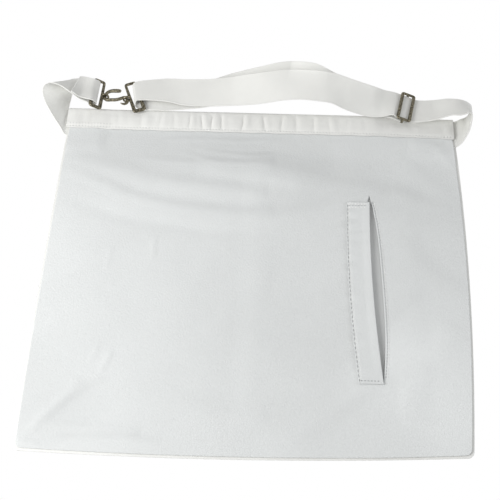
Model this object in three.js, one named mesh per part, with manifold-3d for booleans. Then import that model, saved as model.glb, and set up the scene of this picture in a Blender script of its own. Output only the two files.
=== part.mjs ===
// A masonic apron that lies face down: lining and pocket up, belt laid behind the waistband.
// Millimetres. X to the right, Y towards the waistband, Z up; the origin is the panel's middle on the surface.
import * as THREE from 'three';
import { mergeVertices } from 'three/addons/utils/BufferGeometryUtils.js';
import Module from 'manifold-3d';

const wasm = await Module();
wasm.setup();

// Cloth and leather
const apronWidth = 406;
const apronHeight = 356;
const cornerRadius = 5;
const faceThickness = 1.3;
const liningThickness = 1.0;
const rimWidth = 2.2;
const layerGap = 0.3;

// Pocket
const slitLength = 193;
const slitSlant = 2.5;
const slitOpenRight = 5.8;
const slitOpenLeft = 3.5;
const slitUnderWelt = 4;
const weltWidth = 22.5;
const weltLength = 187;
const weltThickness = 1.2;
const weltLip = 1.2;
const weltDrop = 5;
const bagThickness = 0.8;
const bagWidth = 112;
const bagMargin = 9;

// Waistband
const bandHeight = 25;
const bandWall = 1.2;
const bandTopHeight = 6;
const bandEndDrop = 2.5;
const bandPucker = 0.45;
const bandPuckerPitch = 15;

// Belt
const beltWidth = 33;
const beltThickness = 1.3;
const beltRootLength = 27;
const archHeight = 27;
const curlHeight = 18;

// Slider
const sliderLength = 39.5;
const sliderWidth = 16;
const sliderBar = 3.6;
const sliderEndBar = 2.9;
const sliderThickness = 2;
const sliderCorner = 3.1;
const middleBarWidth = 2.4;
const middleBarThickness = 1.2;

// Hook loops and the snake hook
const loopLength = 43;
const loopWidth = 13;
const loopBar = 2.6;
const loopThickness = 2.4;
const loopCorner = 3.2;
const eyeRadius = 3.4;
const eyeWire = 2.2;
const snakeWire = 3.4;

// Where the hardware lies
const leftLoopRise = 9.6;
const leftLoopTilt = -13.7;
const leftLoopTurn = -1;
const leftLoopRoll = 30;
const rightLoopRise = 6.3;
const hardwareTilt = -8;
const sliderTilt = -10;
const sliderTurn = 12.5;
const sliderRoll = 12;
const rightLoopTurn = -21;

// Fineness of the faceted solids
const beltStep = 4.5;
const wrapSteps = 6;
const edgeBevel = 0.5;
const cutDepth = 12;
const clothCell = 15;

const halfWidth = apronWidth / 2;
const halfHeight = apronHeight / 2;
const liningBottom = faceThickness + layerGap;
const rootHeight = faceThickness + layerGap * 1.5 + beltThickness / 2;
const rootLift = beltThickness + layerGap * 1.5;
const bagLift = bagThickness + layerGap;

const radians = THREE.MathUtils.degToRad;
const { lerp, smoothstep, clamp } = THREE.MathUtils;

function vector(x, y, z) {
  return new THREE.Vector3(x, y, z);
}

// Closed body through rings of points; each ring runs along its top and back along its bottom
function loft(rings) {
  const sides = rings[0].length;
  const positions = rings.flat().flatMap((point) => [point.x, point.y, point.z]);
  const faces = [];
  for (let ring = 0; ring < rings.length - 1; ring += 1) {
    for (let side = 0; side < sides; side += 1) {
      const here = ring * sides + side;
      const next = ring * sides + ((side + 1) % sides);
      faces.push([here, next, next + sides], [here, next + sides, here + sides]);
    }
  }
  const last = (rings.length - 1) * sides;
  for (let side = 0; side < sides / 2 - 1; side += 1) {
    const opposite = sides - 1 - side;
    faces.push([side, opposite, opposite - 1], [side, opposite - 1, side + 1]);
    faces.push([last + side, last + opposite - 1, last + opposite], [last + side, last + side + 1, last + opposite - 1]);
  }
  const geometry = new THREE.BufferGeometry();
  geometry.setAttribute('position', new THREE.Float32BufferAttribute(positions, 3));
  const outward = signedVolume(positions, faces) > 0;
  geometry.setIndex(faces.flatMap((face) => (outward ? face : [face[0], face[2], face[1]])));
  geometry.computeVertexNormals();
  return geometry;
}

function signedVolume(positions, faces) {
  const corner = (index) => vector(...positions.slice(3 * index, 3 * index + 3));
  return faces.reduce((sum, [a, b, c]) => sum + corner(a).dot(corner(b).cross(corner(c))) / 6, 0);
}

// Two surfaces over the same grid, joined along their rims
function sheet(columns, rows, top, bottom) {
  const back = [...rows].reverse();
  return loft(columns.map((u) => [...rows.map((v) => top(u, v)), ...back.map((v) => bottom(u, v))]));
}

function evenly(count) {
  return Array.from({ length: count + 1 }, (_, index) => index / count);
}

// Solids for joining and cutting
function solidOf(geometry) {
  const bare = geometry.clone();
  bare.deleteAttribute('normal');
  bare.deleteAttribute('uv');
  const merged = mergeVertices(bare.index ? bare : mergeVertices(bare), 1e-4);
  return new wasm.Manifold(new wasm.Mesh({
    numProp: 3,
    vertProperties: Float32Array.from(merged.attributes.position.array),
    triVerts: Uint32Array.from(merged.index.array),
  }));
}

function geometryOf(solid) {
  const mesh = solid.getMesh();
  const geometry = new THREE.BufferGeometry();
  geometry.setAttribute('position', new THREE.Float32BufferAttribute(mesh.vertProperties, 3));
  geometry.setIndex(Array.from(mesh.triVerts));
  geometry.computeVertexNormals();
  return geometry;
}

function joined(geometries) {
  return geometryOf(geometries.map(solidOf).reduce((whole, piece) => whole.add(piece)));
}

// Outline of the panel: corners as shares of the half sizes, each edge bowed outwards by a share of the width
const outline = {
  topLeft: { across: -0.978, up: 0.99 },
  topRight: { across: 1.005, up: 0.97 },
  bottomRight: { across: 0.99, up: -0.986 },
  bottomLeft: { across: -1.005, up: -1.028 },
  leftBow: 0.0045,
  rightBow: 0.0163,
  bottomBow: 0.012,
};

function bandTopAt(x) {
  return halfHeight + layerGap * 2 - bandEndDrop * smoothstep(x, halfWidth * 0.6, halfWidth);
}

function cornerAt({ across, up }, inset) {
  return { x: (halfWidth - inset) * across, y: (halfHeight - inset) * up };
}

// A point of the panel: u runs left to right and v from the bottom edge to the top edge
function panelPoint(u, v, inset, topClearance) {
  const [topLeft, topRight] = [cornerAt(outline.topLeft, inset), cornerAt(outline.topRight, inset)];
  const [bottomLeft, bottomRight] = [cornerAt(outline.bottomLeft, inset), cornerAt(outline.bottomRight, inset)];
  const bow = (share, along) => share * apronWidth * 4 * along * (1 - along);
  const left = lerp(bottomLeft.x, topLeft.x, v) - bow(outline.leftBow, v);
  const right = lerp(bottomRight.x, topRight.x, v) + bow(outline.rightBow, v);
  const x = lerp(left, right, u);
  const bottom = lerp(bottomLeft.y, bottomRight.y, u) - bow(outline.bottomBow, u);
  const top = bandTopAt(x) - topClearance;
  return roundedCorner({ x, y: lerp(bottom, top, v), left, right, bottom });
}

// The two lower corners are rounded by squeezing the square corner onto a quarter circle
function roundedCorner({ x, y, left, right, bottom }) {
  const side = x - left < right - x ? 1 : -1;
  const fromSide = cornerRadius - (side > 0 ? x - left : right - x);
  const fromBottom = cornerRadius - (y - bottom);
  if (fromSide <= 0 || fromBottom <= 0) {
    return { x, y };
  }
  const shrink = Math.max(fromSide, fromBottom) / Math.hypot(fromSide, fromBottom);
  return { x: x + side * fromSide * (1 - shrink), y: y + fromBottom * (1 - shrink) };
}

// Columns and rows of a panel, closer together at its corners
function panelLines(count, length) {
  const corner = cornerRadius / length;
  const middle = evenly(count).map((share) => lerp(corner, 1 - corner, share));
  return [0, corner * 0.3, corner * 0.62, ...middle, 1 - corner * 0.62, 1 - corner * 0.3, 1];
}

// Soft folds of the lining: ends as shares of the half sizes, spread and height in millimetres
const folds = [
  { x0: -0.98, y0: 0.68, x1: -0.5, y1: 0.52, spread: 11, height: 1.5 },
  { x0: -0.52, y0: 0.53, x1: 0.06, y1: 0.46, spread: 9, height: 1.3 },
  { x0: -0.3, y0: 0.69, x1: 0.3, y1: 0.66, spread: 8, height: 0.9 },
  { x0: 0.26, y0: 0.66, x1: 0.56, y1: 0.58, spread: 9, height: 1.0 },
  { x0: -0.28, y0: 0.76, x1: 0.04, y1: 0.75, spread: 4, height: 0.5 },
  { x0: -0.93, y0: -0.93, x1: -0.74, y1: -0.66, spread: 6, height: 1.4 },
  { x0: -0.88, y0: -0.9, x1: -0.46, y1: -0.92, spread: 5, height: 0.9 },
  { x0: 0.66, y0: -0.8, x1: 0.95, y1: -0.3, spread: 12, height: 1.1 },
  { x0: 0.7, y0: 0.74, x1: 0.98, y1: 0.42, spread: 12, height: 1.3 },
  { x0: -0.2, y0: -0.4, x1: 0.2, y1: 0.1, spread: 16, height: 0.7 },
];

function foldRelief(x, y) {
  return folds.reduce((sum, fold) => {
    const start = { x: fold.x0 * halfWidth, y: fold.y0 * halfHeight };
    const run = { x: fold.x1 * halfWidth - start.x, y: fold.y1 * halfHeight - start.y };
    const along = ((x - start.x) * run.x + (y - start.y) * run.y) / (run.x ** 2 + run.y ** 2);
    const near = clamp(along, 0, 1);
    const distance = Math.hypot(x - start.x - near * run.x, y - start.y - near * run.y);
    return sum + fold.height * Math.exp(-((distance / fold.spread) ** 2));
  }, 0);
}

// The cut of the pocket, in its own slanted line: s runs from -1 at the bottom to 1 at the top
const slit = { x: halfWidth * 0.588, y: halfHeight * -0.083 };

function slitPoint(s, side) {
  const along = (s * slitLength) / 2;
  return {
    x: slit.x - along * Math.sin(radians(slitSlant)) + side,
    y: slit.y + along * Math.cos(radians(slitSlant)),
  };
}

function slitRight(s) {
  return slitOpenRight * (1 - Math.abs(s) ** 3);
}

function slitLeft(s) {
  return -slitOpenLeft * (1 - s ** 2);
}

// How far the lining is lifted by what lies under it
function plateau(value, low, high, fade) {
  return smoothstep(value, low - fade, low) * (1 - smoothstep(value, high, high + fade));
}

const bag = {
  left: slit.x + bagMargin + slitOpenRight - bagWidth,
  right: slit.x + bagMargin + slitOpenRight,
  bottom: slit.y - slitLength / 2 - bagMargin,
  top: slit.y + slitLength / 2 + bagMargin,
};

function liftOverBag(x, y) {
  const [reach, fade] = [clothCell, clothCell * 1.5];
  const over = plateau(x, bag.left - reach, bag.right + reach, fade);
  return bagLift * over * plateau(y, bag.bottom - reach, bag.top + reach, fade);
}

function liftOverRoots(x, y) {
  const inner = halfWidth - beltRootLength - clothCell * 0.6;
  const near = halfHeight - beltWidth - clothCell * 0.7;
  return rootLift * smoothstep(Math.abs(x), inner - clothCell, inner) * smoothstep(y, near - clothCell, near);
}

function liningBase(x, y) {
  const quiet = 1 - smoothstep(y, halfHeight - bandHeight - 12, halfHeight - bandHeight - 2);
  const flatBySlit = 1 - 0.7 * plateau(x, bag.left, bag.right, bagMargin);
  return liningBottom + liftOverBag(x, y) + liftOverRoots(x, y) + foldRelief(x, y) * quiet * flatBySlit;
}

function frontPanel() {
  const clearance = bandWall + layerGap * 1.8;
  const place = (height) => (u, v) => {
    const { x, y } = panelPoint(u, v, 0, clearance);
    return vector(x, y, height);
  };
  return sheet(panelLines(8, apronWidth), panelLines(7, apronHeight), place(faceThickness), place(0));
}

function backPanel() {
  const clearance = bandHeight - 4;
  const place = (rise) => (u, v) => {
    const { x, y } = panelPoint(u, v, rimWidth, clearance);
    return vector(x, y, liningBase(x, y) + rise);
  };
  const cloth = sheet(panelLines(26, apronWidth), panelLines(21, apronHeight), place(liningThickness), place(0));
  return geometryOf(solidOf(cloth).subtract(solidOf(slitCutter())));
}

function slitCutter() {
  const rows = evenly(20).map((share) => lerp(-1, 1, share));
  const edge = (s, side, height) => {
    const { x, y } = slitPoint(s, side);
    return vector(x, y, height);
  };
  return loft(rows.map((s) => {
    const left = slitLeft(s) - slitUnderWelt * (1 - s ** 8) - 0.3;
    const right = slitRight(s) + 0.3;
    return [edge(s, left, cutDepth), edge(s, right, cutDepth), edge(s, right, -1), edge(s, left, -1)];
  }));
}

function pocketBag() {
  const place = (height) => (u, v) => vector(lerp(bag.left, bag.right, u), lerp(bag.bottom, bag.top, v), height);
  return sheet(evenly(6), evenly(8), place(liningBottom + bagThickness), place(liningBottom));
}

function pocketWelt() {
  const place = (rise) => (u, v) => {
    const s = (lerp(-1, 1, v) * weltLength - weltDrop * 2) / slitLength;
    const { x, y } = slitPoint(s, slitLeft(s) - weltWidth * (1 - u));
    const lip = weltLip * smoothstep(u, 0.6, 1) * clamp(1 - s ** 4, 0, 1);
    return vector(x, y, liningBase(x, y) + liningThickness + layerGap * 1.5 + lip + rise);
  };
  return sheet(evenly(4), evenly(18), place(weltThickness), place(0));
}

// Waistband: its section from the lower edge, over the crown, to the turned top edge
const bandSection = [
  { across: 0, rise: 0 },
  { across: 0.14, rise: 0.5 },
  { across: 0.34, rise: 0.9 },
  { across: 0.56, rise: 1 },
  { across: 0.77, rise: 0.86 },
  { across: 0.92, rise: 0.5 },
];

function bandBase(x) {
  return liningBottom + liningThickness + layerGap * 2.5 + liftOverRoots(x, halfHeight);
}

function puckerAt(x) {
  const turns = (2 * Math.PI * x) / bandPuckerPitch;
  return bandPucker * (0.6 * Math.sin(turns) + 0.4 * Math.sin(turns * 0.62 + 1.3));
}

function bandCrown(x, across) {
  const pressed = 1.1 * Math.exp(-(((x - halfWidth * 0.76) / 26) ** 2)) * smoothstep(across, 0.35, 0.7);
  const settled = 0.5 * Math.exp(-(((x + halfWidth * 0.7) / 26) ** 2)) * smoothstep(across, 0.5, 0.8);
  return bandTopHeight - bandWall - bandBase(x) + puckerAt(x) - pressed - settled;
}

function bandRing(x) {
  const top = bandTopAt(x);
  const middle = bandSection.map(({ across, rise }) => ({
    y: top - bandHeight + across * (bandHeight - bandWall / 2),
    z: bandBase(x) + bandWall / 2 + rise * bandCrown(x, across),
  }));
  const shoulder = middle[middle.length - 1].z;
  middle.push({ y: top - bandWall / 2, z: shoulder * 0.62 });
  middle.push({ y: top - bandWall / 2, z: layerGap });
  return walledRing(x, middle);
}

// Both faces of a wall whose middle line is given
function walledRing(x, middle) {
  const offset = (side) => middle.map((point, index) => {
    const before = middle[Math.max(index - 1, 0)];
    const after = middle[Math.min(index + 1, middle.length - 1)];
    const length = Math.hypot(after.y - before.y, after.z - before.z);
    const reach = (side * bandWall) / 2 / length;
    const upright = index === middle.length - 1;
    const z = point.z + (upright ? 0 : (after.y - before.y) * reach);
    return vector(x, point.y - (after.z - before.z) * reach, z);
  });
  return [...offset(1), ...offset(-1).reverse()];
}

function waistband() {
  const start = halfWidth * -0.985;
  const end = halfWidth * 1.005;
  return loft(evenly(72).map((share) => bandRing(lerp(start, end, share))));
}

// A piece of hardware lies in a frame of its own: along its short side, along its bars and up
function seat(x, y, z, tilt, turn, roll = 0) {
  const [lean, swing] = [radians(tilt), radians(turn)];
  const level = vector(Math.cos(swing), -Math.sin(swing), 0);
  const long = vector(Math.sin(swing) * Math.cos(lean), Math.cos(swing) * Math.cos(lean), Math.sin(lean));
  const short = level.applyAxisAngle(long, radians(roll));
  const up = short.clone().cross(long);
  const origin = vector(x, y, z);
  const at = (a, b, c) => origin.clone().addScaledVector(short, a).addScaledVector(long, b).addScaledVector(up, c);
  return { origin, short, long, up, at };
}

const bandTop = bandTopAt(0);
const leftLoop = seat(
  halfWidth * -0.842, bandTop + loopLength * 0.356, leftLoopRise, leftLoopTilt, leftLoopTurn, leftLoopRoll,
);
const rightLoop = seat(halfWidth * -0.648, bandTop + loopLength * 0.34, rightLoopRise, hardwareTilt, rightLoopTurn);

// Layers through the slider: running belt, folded end above the middle bar, bar, folded end below it
const runningLayer = -layerGap * 1.5 - beltThickness / 2;
const foldRadius = middleBarThickness / 2 + layerGap * 2 + beltThickness / 2;
const foldTop = runningLayer - beltThickness - layerGap * 1.5;
const middleBar = foldTop - foldRadius;
const foldBottom = middleBar - foldRadius;
const sliderRise = beltThickness / 2 - foldBottom + 3.3;
const beltShift = 0.5;
const slide = seat(halfWidth * 0.761, bandTop + sliderLength * 0.17, sliderRise, sliderTilt, sliderTurn, sliderRoll);

// Belt sections: a middle point, the way across the belt and its share of the full width
function beltPlace(row, base, height) {
  const lean = radians(row.tilt);
  const swing = radians(row.turn);
  return {
    middle: vector(row.along * halfWidth, bandTop + row.back * beltWidth, base + row.rise * height),
    across: vector(Math.sin(swing) * Math.cos(lean), Math.cos(swing) * Math.cos(lean), Math.sin(lean)),
    share: row.share ?? 1,
  };
}

function beltOn(place, short, along, up, share) {
  return { middle: place.at(short, along, up), across: place.long.clone(), share };
}

// The belt folded round a bar, from one angle to another
function foldRound(place, { short, up, radius, along, from, to, share, slip = 0 }) {
  return evenly(wrapSteps).map((step) => {
    const angle = radians(lerp(from, to, step));
    const level = along + slip * step;
    return beltOn(place, short + radius * Math.cos(angle), level, up + radius * Math.sin(angle), share);
  });
}

// Belt from its root under the waistband up and over to the slider:
// along and back as shares of the half width and the belt width, rise as a share of the curl
const rightCurl = [
  { along: 0.872, back: -0.615, rise: 0, tilt: 0, turn: 0, share: 0.95 },
  { along: 0.94, back: -0.615, rise: 0, tilt: 0, turn: 0, share: 0.95 },
  { along: 1.008, back: -0.615, rise: 0, tilt: 0, turn: 0, share: 0.95 },
  { along: 1.044, back: -0.509, rise: 0.093, tilt: -5, turn: 3, share: 0.97 },
  { along: 1.069, back: -0.378, rise: 0.192, tilt: -17, turn: 8 },
  { along: 1.085, back: -0.22, rise: 0.351, tilt: -24, turn: 9 },
  { along: 1.095, back: -0.014, rise: 0.495, tilt: -33, turn: 11 },
  { along: 1.094, back: 0.117, rise: 0.616, tilt: -38, turn: 11 },
  { along: 1.081, back: 0.147, rise: 0.739, tilt: -37, turn: 9 },
  { along: 1.055, back: 0.108, rise: 0.862, tilt: -30, turn: 7 },
  { along: 1.026, back: 0.097, rise: 0.881, tilt: -25, turn: 6 },
  { along: 0.997, back: 0.143, rise: 0.778, tilt: -24, turn: 9 },
  { along: 0.966, back: 0.151, rise: 0.663, tilt: -20, turn: 9 },
  { along: 0.93, back: 0.146, rise: 0.5, tilt: -17, turn: 9 },
  { along: 0.89, back: 0.13, rise: 0.4, tilt: -14, turn: 10 },
];

// Running belt from the slider over the arch to the right hook loop
const upperArch = [
  { along: 0.638, back: 0.345, rise: 0.13, tilt: 6, turn: 12 },
  { along: 0.564, back: 0.34, rise: 0.315, tilt: 23, turn: 11 },
  { along: 0.463, back: 0.355, rise: 0.65, tilt: 27, turn: 7 },
  { along: 0.374, back: 0.43, rise: 0.91, tilt: 17, turn: 2 },
  { along: 0.293, back: 0.457, rise: 0.985, tilt: 16, turn: 0 },
  { along: 0.207, back: 0.51, rise: 0.95, tilt: 14, turn: 0 },
  { along: 0.118, back: 0.51, rise: 0.87, tilt: 19, turn: 0 },
  { along: 0.03, back: 0.49, rise: 0.72, tilt: 24, turn: 0 },
  { along: -0.059, back: 0.54, rise: 0.485, tilt: 20, turn: 0 },
  { along: -0.148, back: 0.61, rise: 0.235, tilt: 11, turn: 0 },
  { along: -0.261, back: 0.625, rise: 0.08, tilt: 6, turn: 0 },
  { along: -0.379, back: 0.64, rise: 0.035, tilt: 2, turn: 0 },
  { along: -0.493, back: 0.73, rise: 0.01, tilt: -8, turn: -2 },
];

// The same belt on its way back below, from the loop to the slider's middle bar
const lowerArch = [
  { along: -0.49, back: 0.43, rise: 0.05, tilt: -8, turn: 0 },
  { along: -0.389, back: 0.54, rise: 0.02, tilt: -5, turn: 0 },
  { along: -0.261, back: 0.7, rise: 0.05, tilt: 3, turn: 0 },
  { along: -0.158, back: 0.9, rise: 0.107, tilt: 9, turn: 0 },
  { along: -0.069, back: 0.965, rise: 0.27, tilt: 14, turn: 0 },
  { along: 0.025, back: 1.01, rise: 0.46, tilt: 18, turn: 0 },
  { along: 0.118, back: 1.06, rise: 0.64, tilt: 18, turn: 0 },
  { along: 0.222, back: 1.045, rise: 0.735, tilt: 16, turn: 0 },
  { along: 0.3, back: 1.01, rise: 0.66, tilt: 16, turn: 1 },
  { along: 0.389, back: 0.82, rise: 0.46, tilt: 14, turn: 3 },
  { along: 0.483, back: 0.62, rise: 0.275, tilt: 8, turn: 7 },
  { along: 0.576, back: 0.48, rise: 0.15, tilt: 0, turn: 10 },
  { along: 0.66, back: 0.4, rise: 0.09, tilt: -6, turn: 13, share: 0.97 },
];

// Short belt piece at the left, from its root up and over towards the left hook loop
const leftCurl = [
  { along: -0.872, back: -0.525, rise: 0, tilt: 0, turn: 0, share: 0.93 },
  { along: -0.93, back: -0.525, rise: 0, tilt: 0, turn: 0, share: 0.93 },
  { along: -0.988, back: -0.525, rise: 0, tilt: 0, turn: 0, share: 0.93 },
  { along: -1.003, back: -0.299, rise: 0.081, tilt: -7, turn: 10, share: 0.97 },
  { along: -1.02, back: -0.058, rise: 0.201, tilt: -16, turn: 24 },
  { along: -1.032, back: 0.127, rise: 0.378, tilt: -19, turn: 40 },
  { along: -1.039, back: 0.274, rise: 0.616, tilt: -17, turn: 56 },
  { along: -1.044, back: 0.433, rise: 0.761, tilt: -18, turn: 66 },
  { along: -1.043, back: 0.573, rise: 0.836, tilt: -28, turn: 61 },
  { along: -1.038, back: 0.683, rise: 0.833, tilt: -39, turn: 47 },
  { along: -1.03, back: 0.743, rise: 0.796, tilt: -43, turn: 32 },
  { along: -1.008, back: 0.779, rise: 0.654, tilt: -41, turn: 13 },
  { along: -0.957, back: 0.701, rise: 0.531, tilt: -26, turn: 6 },
  { along: -0.92, back: 0.637, rise: 0.38, tilt: -15, turn: 3 },
];

function beltSolid(sections) {
  const middles = new THREE.CatmullRomCurve3(sections.map((section) => section.middle), false, 'centripetal');
  const acrosses = new THREE.CatmullRomCurve3(sections.map((section) => section.across), false, 'catmullrom', 0.5);
  const stops = [];
  for (let index = 0; index < sections.length - 1; index += 1) {
    const span = sections[index].middle.distanceTo(sections[index + 1].middle);
    const steps = Math.max(1, Math.round(span / beltStep));
    for (let step = 0; step < steps; step += 1) {
      stops.push(index + step / steps);
    }
  }
  stops.push(sections.length - 1);
  const whole = sections.length - 1;
  return loft(stops.map((stop) => {
    const share = stop / whole;
    const index = Math.min(Math.floor(stop), whole - 1);
    const width = beltWidth * lerp(sections[index].share, sections[index + 1].share, stop - index);
    const middle = middles.getPoint(share);
    const along = middles.getTangent(share);
    const across = acrosses.getPoint(share).normalize();
    const up = along.clone().cross(across).normalize();
    const corner = (side, level) => middle.clone()
      .addScaledVector(across, (side * width) / 2)
      .addScaledVector(up, (level * beltThickness) / 2);
    return [corner(-1, 1), corner(1, 1), corner(1, -1), corner(-1, -1)];
  }));
}

const archBase = bandTopHeight + 0.5;
const lowerBase = 2.6;
const loopBarPlace = (loopWidth - loopBar) / 2;
const loopFoldRadius = Math.hypot(loopBar, loopThickness) / 2 + beltThickness / 2 + layerGap * 0.6;
const freeLoopEnd = 4.6;
const foldSkew = 9;

// How far each belt fold reaches past its loop's side bar, towards the snake hook
const leftFoldReach = 3;
const rightFoldReach = 2.4;
const rightFoldPlace = rightLoop.at(loopBarPlace - rightFoldReach, freeLoopEnd, 0);
const rightFold = seat(...rightFoldPlace.toArray(), hardwareTilt, rightLoopTurn + foldSkew);
const foldSlip = -6.6;

// The sewn end of the left piece lies on its own belt: lifts over the curl's last rows, as shares of its thickness
const sewnLifts = [3.0, 2.8];

function strapRight() {
  const curl = rightCurl.map((row) => beltPlace(row, rootHeight, curlHeight));
  const inSlider = [0.6, 0, -0.52, -0.75].map((share) => beltOn(slide, share * sliderWidth, beltShift, runningLayer, 1));
  const upper = upperArch.map((row) => beltPlace(row, archBase, archHeight));
  const round = foldRound(rightFold, {
    short: 0, up: 0, radius: loopFoldRadius, along: 0, from: 90, to: 270, share: 0.8, slip: foldSlip,
  });
  const lower = lowerArch.map((row) => beltPlace(row, lowerBase, archHeight));
  const backIn = beltOn(slide, sliderWidth * -0.6, beltShift, foldBottom, 0.95);
  const folded = foldRound(slide, {
    short: middleBarWidth / 4, up: middleBar, radius: foldRadius, along: beltShift, from: 270, to: 450, share: 0.95,
  });
  const tail = beltOn(slide, sliderWidth * -0.45, beltShift, foldTop, 0.95);
  return beltSolid([...curl, ...inSlider, ...upper, ...round, ...lower, backIn, ...folded, tail]);
}

function strapLeft() {
  const curl = leftCurl.map((row) => beltPlace(row, rootHeight, curlHeight));
  const round = foldRound(leftLoop, {
    short: leftFoldReach - loopBarPlace, up: 0, radius: loopFoldRadius, along: beltShift,
    from: 270 + leftLoopRoll, to: 450, share: 1,
  });
  const overBar = beltOn(leftLoop, -loopBarPlace - loopBar / 2, beltShift, loopFoldRadius, 1);
  const sewnRows = leftCurl.slice(-sewnLifts.length).reverse();
  const sewn = sewnRows.map((row, index) => beltPlace(row, rootHeight + sewnLifts[index] * beltThickness, curlHeight));
  return beltSolid([...curl, ...round, overBar, ...sewn]);
}

// Hardware
function roundedRectangle(target, width, height, radius) {
  const [x, y] = [width / 2, height / 2];
  target.moveTo(-x + radius, -y);
  target.lineTo(x - radius, -y);
  target.absarc(x - radius, -y + radius, radius, -Math.PI / 2, 0, false);
  target.lineTo(x, y - radius);
  target.absarc(x - radius, y - radius, radius, 0, Math.PI / 2, false);
  target.lineTo(-x + radius, y);
  target.absarc(-x + radius, y - radius, radius, Math.PI / 2, Math.PI, false);
  target.lineTo(-x, -y + radius);
  target.absarc(-x + radius, -y + radius, radius, Math.PI, Math.PI * 1.5, false);
  return target;
}

function ringPlate({ width, length, sideBar, endBar, thickness, corner }) {
  const edge = edgeBevel;
  const shape = roundedRectangle(new THREE.Shape(), width - 2 * edge, length - 2 * edge, corner - edge);
  const holeWidth = width - 2 * sideBar + 2 * edge;
  const holeLength = length - 2 * endBar + 2 * edge;
  shape.holes.push(roundedRectangle(new THREE.Path(), holeWidth, holeLength, edge * 2));
  return new THREE.ExtrudeGeometry(shape, {
    depth: thickness - 2 * edge,
    bevelEnabled: true,
    bevelThickness: edge,
    bevelSize: edge,
    bevelSegments: 1,
    curveSegments: 3,
    steps: 1,
  }).translate(0, 0, edge);
}

function box(width, length, height, x, y, z) {
  return new THREE.BoxGeometry(width, length, height).translate(x, y, z);
}

function sliderGeometry() {
  const ring = ringPlate({
    width: sliderWidth, length: sliderLength, sideBar: sliderBar, endBar: sliderEndBar, thickness: sliderThickness,
    corner: sliderCorner,
  });
  const bottom = middleBar - middleBarThickness / 2;
  const legHeight = sliderThickness * 0.7 - bottom;
  const legWidth = sliderEndBar * 0.6;
  const legPlace = sliderLength / 2 - sliderEndBar * 0.62;
  const legs = [-1, 1].map((side) => box(
    middleBarWidth, legWidth, legHeight, 0, beltShift + side * legPlace, bottom + legHeight / 2,
  ));
  const bar = box(middleBarWidth, legPlace * 2, middleBarThickness, 0, beltShift, middleBar);
  return joined([ring, ...legs, bar]);
}

function loopGeometry(eyeSide) {
  const ring = ringPlate({
    width: loopWidth, length: loopLength, sideBar: loopBar, endBar: loopBar, thickness: loopThickness,
    corner: loopCorner,
  }).translate(0, 0, -loopThickness / 2);
  const eye = new THREE.TorusGeometry(eyeRadius, eyeWire / 2, 8, 14)
    .rotateX(Math.PI / 2)
    .translate(eyeSide * eyePlace, 0, 0);
  return joined([ring, eye]);
}

const eyePlace = loopWidth / 2 + eyeRadius - eyeWire * 0.55;

// Snake hook between the two eyes: places as shares of the reach from eye to eye, girth of the wire
const snake = [
  { along: 0.635, side: 0.375, girth: 0.75 },
  { along: 0.6, side: 0.385, girth: 1.05 },
  { along: 0.5, side: 0.385, girth: 1.2 },
  { along: 0.36, side: 0.37, girth: 1.15 },
  { along: 0.2, side: 0.335, girth: 1.0 },
  { along: 0.07, side: 0.25, girth: 0.95 },
  { along: 0.0, side: 0.1, girth: 0.95 },
  { along: 0.005, side: -0.05, girth: 0.95 },
  { along: 0.1, side: -0.15, girth: 0.95 },
  { along: 0.297, side: -0.13, girth: 0.95 },
  { along: 0.5, side: -0.1, girth: 0.95 },
  { along: 0.68, side: -0.03, girth: 0.95 },
  { along: 0.84, side: 0.06, girth: 0.92 },
  { along: 0.93, side: 0.07, girth: 0.92 },
  { along: 1.0, side: 0.0, girth: 0.9 },
  { along: 1.05, side: -0.1, girth: 0.88 },
  { along: 1.04, side: -0.2, girth: 0.8 },
  { along: 0.95, side: -0.27, girth: 0.7 },
  { along: 0.84, side: -0.27, girth: 0.5 },
  { along: 0.77, side: -0.24, girth: 0.3 },
];

function snakeHook() {
  const start = leftLoop.at(eyePlace, 0, 0);
  const end = rightLoop.at(-eyePlace, 0, 0);
  const reach = end.clone().sub(start);
  const side = vector(-reach.y, reach.x, 0).setLength(reach.length());
  const points = snake.map((row) => start.clone().addScaledVector(reach, row.along).addScaledVector(side, row.side));
  const curve = new THREE.CatmullRomCurve3(points, false, 'centripetal');
  const count = (snake.length - 1) * 2;
  const sides = 8;
  return loft(evenly(count).map((share) => {
    const stop = share * (snake.length - 1);
    const index = Math.min(Math.floor(stop), snake.length - 2);
    const radius = (lerp(snake[index].girth, snake[index + 1].girth, stop - index) * snakeWire) / 2;
    const middle = curve.getPoint(share);
    const along = curve.getTangent(share);
    const across = vector(-along.y, along.x, 0).normalize();
    const up = along.clone().cross(across);
    return Array.from({ length: sides }, (_, corner) => {
      const angle = (2 * Math.PI * (corner + 0.5)) / sides;
      return middle.clone()
        .addScaledVector(across, radius * Math.cos(angle))
        .addScaledVector(up, radius * Math.sin(angle));
    });
  }));
}

// Materials
const materials = {
  leather: new THREE.MeshStandardMaterial({ color: 0xf1f0ec, roughness: 0.55, metalness: 0 }),
  lining: new THREE.MeshStandardMaterial({ color: 0xe9eae8, roughness: 0.9, metalness: 0 }),
  pocketing: new THREE.MeshStandardMaterial({ color: 0xd2d3d2, roughness: 0.95, metalness: 0 }),
  band: new THREE.MeshStandardMaterial({ color: 0xecebe4, roughness: 0.85, metalness: 0 }),
  webbing: new THREE.MeshStandardMaterial({ color: 0xe6e6df, roughness: 0.8, metalness: 0 }),
  metal: new THREE.MeshStandardMaterial({ color: 0x7d745c, roughness: 0.35, metalness: 0.9 }),
};

function piece(name, geometry, material) {
  const mesh = new THREE.Mesh(geometry, material);
  mesh.name = name;
  return mesh;
}

function laid(mesh, place) {
  mesh.position.copy(place.origin);
  mesh.quaternion.setFromRotationMatrix(new THREE.Matrix4().makeBasis(place.short, place.long, place.up));
  return mesh;
}

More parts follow.
